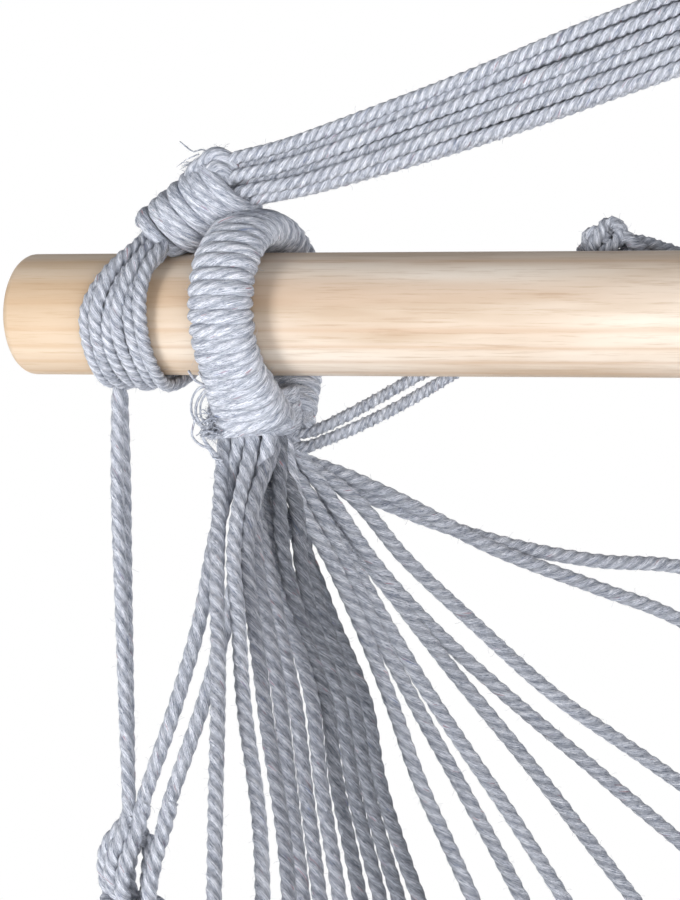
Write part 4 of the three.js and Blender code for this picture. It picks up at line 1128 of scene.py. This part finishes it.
# Back ties: from the throat up behind the bar to a knot on it, and on to the other side
backTieRoutes = [
    [(66, 3, -28), (72, 6.4, -29.2), (75.5, 8, -28.6), (87.5, 11.6, -22.6), (99.5, 16.4, -15.4),
     (116, 19.6, -7),
     (130, 20, 2), (140, 17.4, 10), (147, 12.5, 16.4)],
    [(67, 4, -30.5), (74, 7.4, -32.4), (79, 9, -30.4), (93, 12.6, -24), (108, 17.2, -15), (122, 21.4, -5),
     (134, 21, 4), (143, 17, 11), (149, 13, 15.5)],
]
middleTieRoute = [(157.5, 10.6, 17), (163, 12.4, 15.9), (168, 14.2, 14.2), (176, 16.6, 11), (190, 19.6, 5),
                  (230, 20.5, 0), (300, 21, -8),
                  (400, 21, -12.5), (500, 21, -14)]
backKnotStrands = [
    [(-6.6, -2, -5), (-7.3, 0.4, -1.4), (-6.2, 2.2, 2), (-3.6, 2.8, 2.8), (-1.6, 1.6, 0.8),
     (-0.6, -0.4, -2.4)],
    [(-5.4, 2.2, -4.6), (-4.6, 3.6, -1.2), (-2.6, 3.8, 1.6), (-1.9, 2.2, 4.2), (0.2, 1.2, 5.4),
     (2.4, 0.8, 3.6),
     (2.2, 1.6, 0.4), (0, 2.6, -1.8), (-2.6, 2.6, -3.8)],
    [(-1.6, 0, 1.8), (-0.8, -1.4, 4.6), (1.2, -1.6, 4.8), (2.6, -0.6, 1.8), (4.6, 0.8, 1.2),
     (7.2, 0.6, -0.8), (9, 0, -2.4)],
    [(-0.8, -1.2, -3.2), (2, -1.6, -3.8), (5, -0.8, -3.4), (8, -1, -3.4)],
    [(-6.4, -3, -2), (-3, -3.4, 0.6), (0.4, -3.4, 0.4), (4, -2.6, -0.8), (7.6, -1.8, -2.4)],
]


def backTies():
    for sideName, side in sideNames.items():
        paths = [wandering(smoothed([atBar(side, *place) for place in route], 0.004), 0.0006, 30 + way)
                 for way, route in enumerate(backTieRoutes)]
        cordPiece(f"backTie{sideName.title()}", paths, "seat", [f"back_tie_{sideName}"])
        cordPiece(f"backKnot{sideName.title()}", strandsAt(atBar(side, 155.5, 9, 17.2), side,
                                                           backKnotStrands, 8, 0.86),
                  "seat", [f"back_knot_{sideName}"], {"Radius": 0.0018, "Hair Density": 90000.0,
                                                      "Step": 0.0011})
    half = chair["cordPitch"] / 2
    paths = []
    for way in (-1, 1):
        line = []
        for side, places in ((-1, middleTieRoute), (1, middleTieRoute[-2::-1])):
            for index, (inset, depth, height) in enumerate(places):
                apart = way * half * (0.9 if inset > 185 else 0.55)
                line.append(atBar(side, inset, depth - 0.3 * apart, height + apart))
        paths.append(wandering(smoothed(line, 0.005), 0.0009, 33 + way))
    cordPiece("backTieMiddle", paths, "seat", ["back_tie_middle"])


for sideName, side in sideNames.items():
    frontTies(sideName, side)
backTies()
print("ties made")


# Top eye: the middles of all suspension cords, wound into a ring for the hook
topEyeSizes = {"turns": 44, "halves": (8.0, 8.0), "cordRadius": 1.85, "tangentAngle": 115, "wrappedLeg": 27,
               "coreLeg": 52}


def topEyeWay(distance, leg):
    sizes = topEyeSizes
    end = math.radians(sizes["tangentAngle"])
    radius = chair["topEyeRadius"]
    arc = 2 * end * radius
    along = distance / mm - leg
    if 0 <= along <= arc:
        angle = along / radius - end
        run = 0
    else:
        angle = -end if along < 0 else end
        run = -along if along < 0 else along - arc
    way = 1 if angle > 0 else -1
    outward = Vector((math.sin(angle), 0, math.cos(angle)))
    tangent = Vector((math.cos(angle), 0, -math.sin(angle)))
    middle = (Vector((0, 0, chair["topEyeMiddle"])) + outward * radius + tangent * (run * way)) * mm
    return middle, Vector((0, 1, 0)), outward, tangent


def topEye():
    sizes = topEyeSizes
    leg = sizes["wrappedLeg"]
    whole = (2 * math.radians(sizes["tangentAngle"]) * chair["topEyeRadius"] + 2 * leg) * mm
    path = winding(lambda d: topEyeWay(d, leg), whole, sizes["turns"], sizes["halves"], seed=6, jitter=0.12,
                   steps=28, squareness=2.1)
    girths = []
    for index, point in enumerate(path):
        fromMiddle = math.hypot(point.x, point.z - chair["topEyeMiddle"] * mm) / mm
        slim = 0.66 + 0.34 * min(max((fromMiddle - 18) / 12, 0), 1)
        girths.append(slim * (1 + 0.08 * noise.noise(Vector((index * 0.035, 2, 8)))))
    cordPiece("topEyeWrap", [list(zip(path, girths))], "top_eye", ["top_eye_wrap"],
              {"Material": wrapCotton, "Radius": sizes["cordRadius"] * mm, "Lay": 0.021, "Strand Offset": 0.3,
               "Step": 0.0016, "Hair Density": 20000.0, "Sides": 12, "Hair Reach": 2.0})
    core = sizes["coreLeg"]
    whole += 2 * (core - leg) * mm
    strands = []
    for row in range(6):
        turn = row * math.pi / 3
        strand = []
        for step in range(81):
            middle, wideWay, deepWay, _ = topEyeWay(whole * step / 80, core)
            strand.append(middle + (wideWay * math.cos(turn) + deepWay * math.sin(turn)) * (3.9 * mm))
        strands.append(strand)
    cordPiece("topEyeCords", strands, "top_eye", ["top_eye_core"],
              {"Radius": 0.0029, "Step": 0.0025, "Lay": 0.014, "Hair Density": 0.0})
    collar("topEyeCollar", lambda drop: Vector((0, 0, drop)),
           {"turns": 15, "top": -72, "bottom": -94.5, "halves": (9.3, 9.3), "cordRadius": 1.35, "lean": 0.12},
           "top_eye", ["top_eye_collar"], seed=9)


topEye()
print("top eye made")


# Bar: a turned dowel, its ends rounded over, a little out of true from sanding
barSizes = {"endRounding": 2.5, "sides": 96, "outOfTrue": 0.05}


def spreaderBar():
    sizes = barSizes
    half, radius, soft = chair["barHalf"], chair["barRadius"], sizes["endRounding"]
    profile = [(half, 0.0), (half, radius * 0.45), (half, radius - soft)]
    for step in range(1, 7):
        angle = math.radians(90 * step / 6)
        profile.append((half - soft + soft * math.cos(angle), radius - soft + soft * math.sin(angle)))
    profile += [(half - run, radius) for run in (8, 20, 40)]
    profile += [(share * half, radius) for share in (0.84, 0.7, 0.55, 0.4, 0.2, 0)]
    full = profile + [(-along, across) for along, across in profile[-2::-1]]
    mesh = bmesh.new()
    rings = []
    for along, across in full:
        ring = []
        for index in range(sizes["sides"] if across else 1):
            angle = 2 * math.pi * index / sizes["sides"]
            uneven = 1 + sizes["outOfTrue"] / radius * noise.noise(Vector((along * 0.02, math.cos(angle),
                                                                           math.sin(angle))))
            place = Vector((along, across * uneven * math.cos(angle),
                            across * uneven * math.sin(angle) - chair["hookDrop"]))
            ring.append(mesh.verts.new(place * mm))
        rings.append(ring)
    for one, two in zip(rings, rings[1:]):
        count = sizes["sides"]
        for index in range(count):
            after = (index + 1) % count
            if len(one) == 1:
                mesh.faces.new((one[0], two[index], two[after]))
            elif len(two) == 1:
                mesh.faces.new((one[index], two[0], one[after]))
            else:
                mesh.faces.new((one[index], two[index], two[after], one[after]))
    bmesh.ops.recalc_face_normals(mesh, faces=mesh.faces)
    piece = finishPiece("spreaderBar", mesh, pine)
    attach(piece, "spreader_bar")
    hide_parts("spreader_bar")


spreaderBar()
print("bar made")


# Cloth: laced along both sides through slits in its hems, gathered there and hanging between
clothSizes = {
    "thickness": 1.6, "hemThickness": 1.1, "hemWidth": 0.05, "hemLift": (0.35, 0.95), "wrinkle": 2.2,
    "slitAlong": 4.4, "slitAcross": (0.9735, 0.9865), "hemLine": 0.962, "mapSize": (0.415, 1.2),
}


# Gives a surface its thickness, and softens its corners
def thickened(piece, thickness):
    solid = piece.modifiers.new("thickness", "SOLIDIFY")
    solid.thickness = thickness * mm
    solid.offset = 0
    smooth = piece.modifiers.new("smooth", "SUBSURF")
    smooth.levels = smooth.render_levels = 1
    ready = piece.evaluated_get(bpy.context.evaluated_depsgraph_get())
    mesh = bpy.data.meshes.new_from_object(ready)
    piece.modifiers.clear()
    piece.data = mesh


def clothSurface(forward, across, lift=0.0):
    up = clothUp(forward, across)
    wrinkle = noise.noise(Vector((forward * 7, across * 3, 2))) * clothSizes["wrinkle"]
    wrinkle += noise.noise(Vector((forward * 26, across * 6, 7))) * 0.9 * abs(across)
    wrinkle *= 1 - abs(across) ** 8
    return (clothPoint(forward, across, smooth=True) + up * (wrinkle + lift)) * mm


# Faces between the points of a grid, with a place on the flat cloth for each corner
def clothFaces(mesh, mapLayer, grid, rows, columns, isSlit):
    acrossSize, alongSize = clothSizes["mapSize"]
    for i in range(len(rows) - 1):
        for j in range(len(columns) - 1):
            if isSlit(i, j):
                continue
            places = ((i, j), (i + 1, j), (i + 1, j + 1), (i, j + 1))
            face = mesh.faces.new([grid[a][b] for a, b in places])
            for loop, (a, b) in zip(face.loops, places):
                loop[mapLayer].uv = (columns[b] * acrossSize, rows[a] * alongSize)


def seatCloth():
    sizes = clothSizes
    count = chair["slitCount"]
    edgeLength = sum((edgeAt((i + 1) / 200) - edgeAt(i / 200)).length for i in range(200))
    halfSlit = sizes["slitAlong"] / (edgeLength / count)
    rows = []
    for slit in range(count):
        rows += [(slit + share) / count for share in (0, 0.18, 0.34, 0.5 - halfSlit, 0.5 + halfSlit, 0.66,
                                                      0.82)]
    rows.append(1.0)
    slits = {7 * slit + 3 for slit in range(count)}
    low, high = sizes["slitAcross"]
    half = [0, 0.06, 0.12, 0.18, 0.24, 0.3, 0.36, 0.42, 0.48, 0.54, 0.6, 0.66, 0.71, 0.76, 0.8, 0.84,
            0.875, 0.905, 0.93, 0.95, sizes["hemLine"], low, high, 1.0]
    columns = [-a for a in half[:0:-1]] + half
    slitColumns = (1, len(columns) - 3)
    mesh = bmesh.new()
    grid = [[mesh.verts.new(clothSurface(row, column)) for column in columns] for row in rows]
    clothFaces(mesh, mesh.loops.layers.uv.new("clothMap"), grid, rows, columns,
               lambda i, j: i in slits and j in slitColumns)
    piece = finishPiece("seatCloth", mesh, clothCotton)
    thickened(piece, sizes["thickness"])
    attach(piece, "seat")
    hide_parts("seat_cloth")

    # Hems: a folded band on each face along both laced edges
    hems = bmesh.new()
    mapLayer = hems.loops.layers.uv.new("clothMap")
    inner = 1 - sizes["hemWidth"]
    lines = [inner, inner + 0.004, sizes["hemLine"], low - 0.001, high + 0.001, 1.0]
    edgeLift, bandLift = sizes["hemLift"]
    for side in (-1, 1):
        for face in (-1, 1):
            strip = [[hems.verts.new(clothSurface(row, side * line,
                                                  face * (bandLift if 0 < k < 5 else edgeLift)))
                      for k, line in enumerate(lines)] for row in rows]
            clothFaces(hems, mapLayer, strip, rows, [side * line for line in lines],
                       lambda i, j: i in slits and j == 3)
    hem = finishPiece("seatHem", hems, clothCotton)
    thickened(hem, sizes["hemThickness"])
    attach(hem, "seat")

    # Rolled ends: the back and front edges are turned over a cord
    ends = [[clothSurface(forward, -0.995 + 1.99 * step / 80) for step in range(81)] for forward in (0.0,
                                                                                                     1.0)]
    roll = cordPiece("seatEndRolls", ends, "seat", [], {
        "Radius": 0.0026, "Lay": 0.02, "Strand Offset": 0.1, "Hair Density": 0.0, "Material": wrapCotton,
        "Step": 0.003,
    })


seatCloth()


# Stitches: two rows along each hem, laid by a tree
def stitchTree():
    tree, given, end = newTree("stitches", {"Spacing": 0.004, "Length": 0.0026, "Thickness": 0.0004})
    path = firstOut(tree, "GeometryNodeMeshToCurve", {"Mesh": given["Geometry"]})
    spots = addNode(tree, "GeometryNodeCurveToPoints", {
        "Curve": path, "Length": given["Spacing"],
    }, mode="LENGTH").outputs
    line = firstOut(tree, "GeometryNodeCurvePrimitiveBezierSegment", {
        "Resolution": 4, "Start": (0, 0, -0.5), "Start Handle": (0, 0.35, -0.3),
        "End Handle": (0, 0.35, 0.3), "End": (0, 0, 0.5),
    })
    thread = firstOut(tree, "GeometryNodeCurvePrimitiveCircle", {
        "Resolution": 5, "Radius": divided(tree, given["Thickness"], given["Length"]),
    })
    stitch = firstOut(tree, "GeometryNodeCurveToMesh", {
        "Curve": line, "Profile Curve": thread, "Fill Caps": True,
    })
    laid = firstOut(tree, "GeometryNodeInstanceOnPoints", {
        "Points": spots["Points"], "Instance": stitch, "Rotation": spots["Rotation"],
        "Scale": given["Length"],
    })
    laid = stored(tree, laid, "FLOAT_VECTOR", "layPlace", firstOut(tree, "GeometryNodeInputPosition"))
    real = firstOut(tree, "GeometryNodeRealizeInstances", {"Geometry": laid})
    real = firstOut(tree, "GeometryNodeSetShadeSmooth", {"Geometry": real})
    return endTree(tree, real, given["Material"], end)


def hemStitches():
    lines = []
    for side in (-1, 1):
        for across in (0.9565, 0.9935):
            for face in (-1.5, 1.5):
                lines.append([clothSurface(step / 400, side * across, face) for step in range(401)])
    piece = convert("hemStitches", pathMesh("hemStitches", lines), stitchTree(), {"Material": wrapCotton})
    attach(piece, "seat")


hemStitches()
print("cloth made")


# Studio: white background, a pale floor well below the seat, and soft lamps round the chair
studioSizes = {
    "floor": -1.52, "floorRadius": 3.2, "floorSides": 96, "floorGlow": 0.35, "fade": (0.9, 2.6),
    "ambient": 0.27, "aim": (-0.2, 0, -0.45),
    "lamps": [
        ("keyLamp", (-1.6, -2.9, -0.85), 1.5, 78),
        ("frontLamp", (1.6, -2.8, -0.95), 1.8, 66),
        ("sideLamp", (2.4, -1.3, -0.6), 1.4, 20),
        ("backLamp", (0.6, 2.6, -0.3), 1.6, 40),
    ],
}


# One where the camera sees a surface, also by a mirror or through glass, and none for other light
def seenStraight(tree):
    ray = addNode(tree, "ShaderNodeLightPath").outputs
    bounced = calc(tree, "MAXIMUM", ray["Is Glossy Ray"], ray["Is Transmission Ray"])
    return calc(tree, "MAXIMUM", ray["Is Camera Ray"], bounced)


def studioFloor(sizes):
    height, radius, sides = sizes["floor"], sizes["floorRadius"], sizes["floorSides"]
    mesh = bmesh.new()
    middle = mesh.verts.new((0, 0, height))
    ring = [mesh.verts.new((radius * math.cos(a), radius * math.sin(a), height))
            for a in (2 * math.pi * i / sides for i in range(sides))]
    for one, two in zip(ring, ring[1:] + ring[:1]):
        mesh.faces.new((middle, one, two))
    material, tree, shader = newMaterial("matt white studio floor")
    setInputs(tree, shader, {
        "Base Color": colourOf("#f7f7f7"), "Emission Color": (1, 1, 1, 1),
        "Emission Strength": sizes["floorGlow"], "Roughness": 0.9,
    })
    coords = addNode(tree, "ShaderNodeTexCoord").outputs["Object"]
    away = vectorCalc(tree, "DISTANCE", {0: coords, 1: (0, 0, height)})["Value"]
    fade = ranged(tree, away, *sizes["fade"], kind="SMOOTHSTEP")
    white = firstOut(tree, "ShaderNodeEmission", {"Color": (1, 1, 1, 1), "Strength": 1.0})
    mixed = firstOut(tree, "ShaderNodeMixShader", {
        0: times(tree, fade, seenStraight(tree)), 1: shader.outputs[0], 2: white,
    })
    out = [node for node in tree.nodes if node.type == "OUTPUT_MATERIAL"][0]
    tree.links.new(mixed, out.inputs["Surface"])
    finishPiece("studioFloor", mesh, material)


def studioWorld(sizes):
    world = bpy.data.worlds.new("studioWorld")
    scene.world = world
    world.use_nodes = True
    tree = world.node_tree
    tree.nodes.clear()
    lit = firstOut(tree, "ShaderNodeBackground", {"Color": colourOf("#fbfbff"), "Strength": sizes["ambient"]})
    white = firstOut(tree, "ShaderNodeBackground", {"Color": (1, 1, 1, 1), "Strength": 1.0})
    mixed = firstOut(tree, "ShaderNodeMixShader", {0: seenStraight(tree), 1: lit, 2: white})
    addNode(tree, "ShaderNodeOutputWorld", {"Surface": mixed})


def studio():
    sizes = studioSizes
    studioFloor(sizes)
    studioWorld(sizes)
    for name, place, size, power in sizes["lamps"]:
        light = bpy.data.lights.new(name, "AREA")
        light.shape = "DISK"
        light.size = size
        light.energy = power
        lamp = bpy.data.objects.new(name, light)
        scene.collection.objects.link(lamp)
        lamp.location = place
        lamp.rotation_euler = (Vector(sizes["aim"]) - Vector(place)).to_track_quat("-Z", "Y").to_euler()
    scene.view_settings.view_transform = "Standard"


studio()
print("studio made")

count = sum(len(o.data.loop_triangles) or sum(len(f.vertices) - 2 for f in o.data.polygons)
            for o in scene.objects if o.type == "MESH" and not o.hide_render)
print("triangles in all:", count)
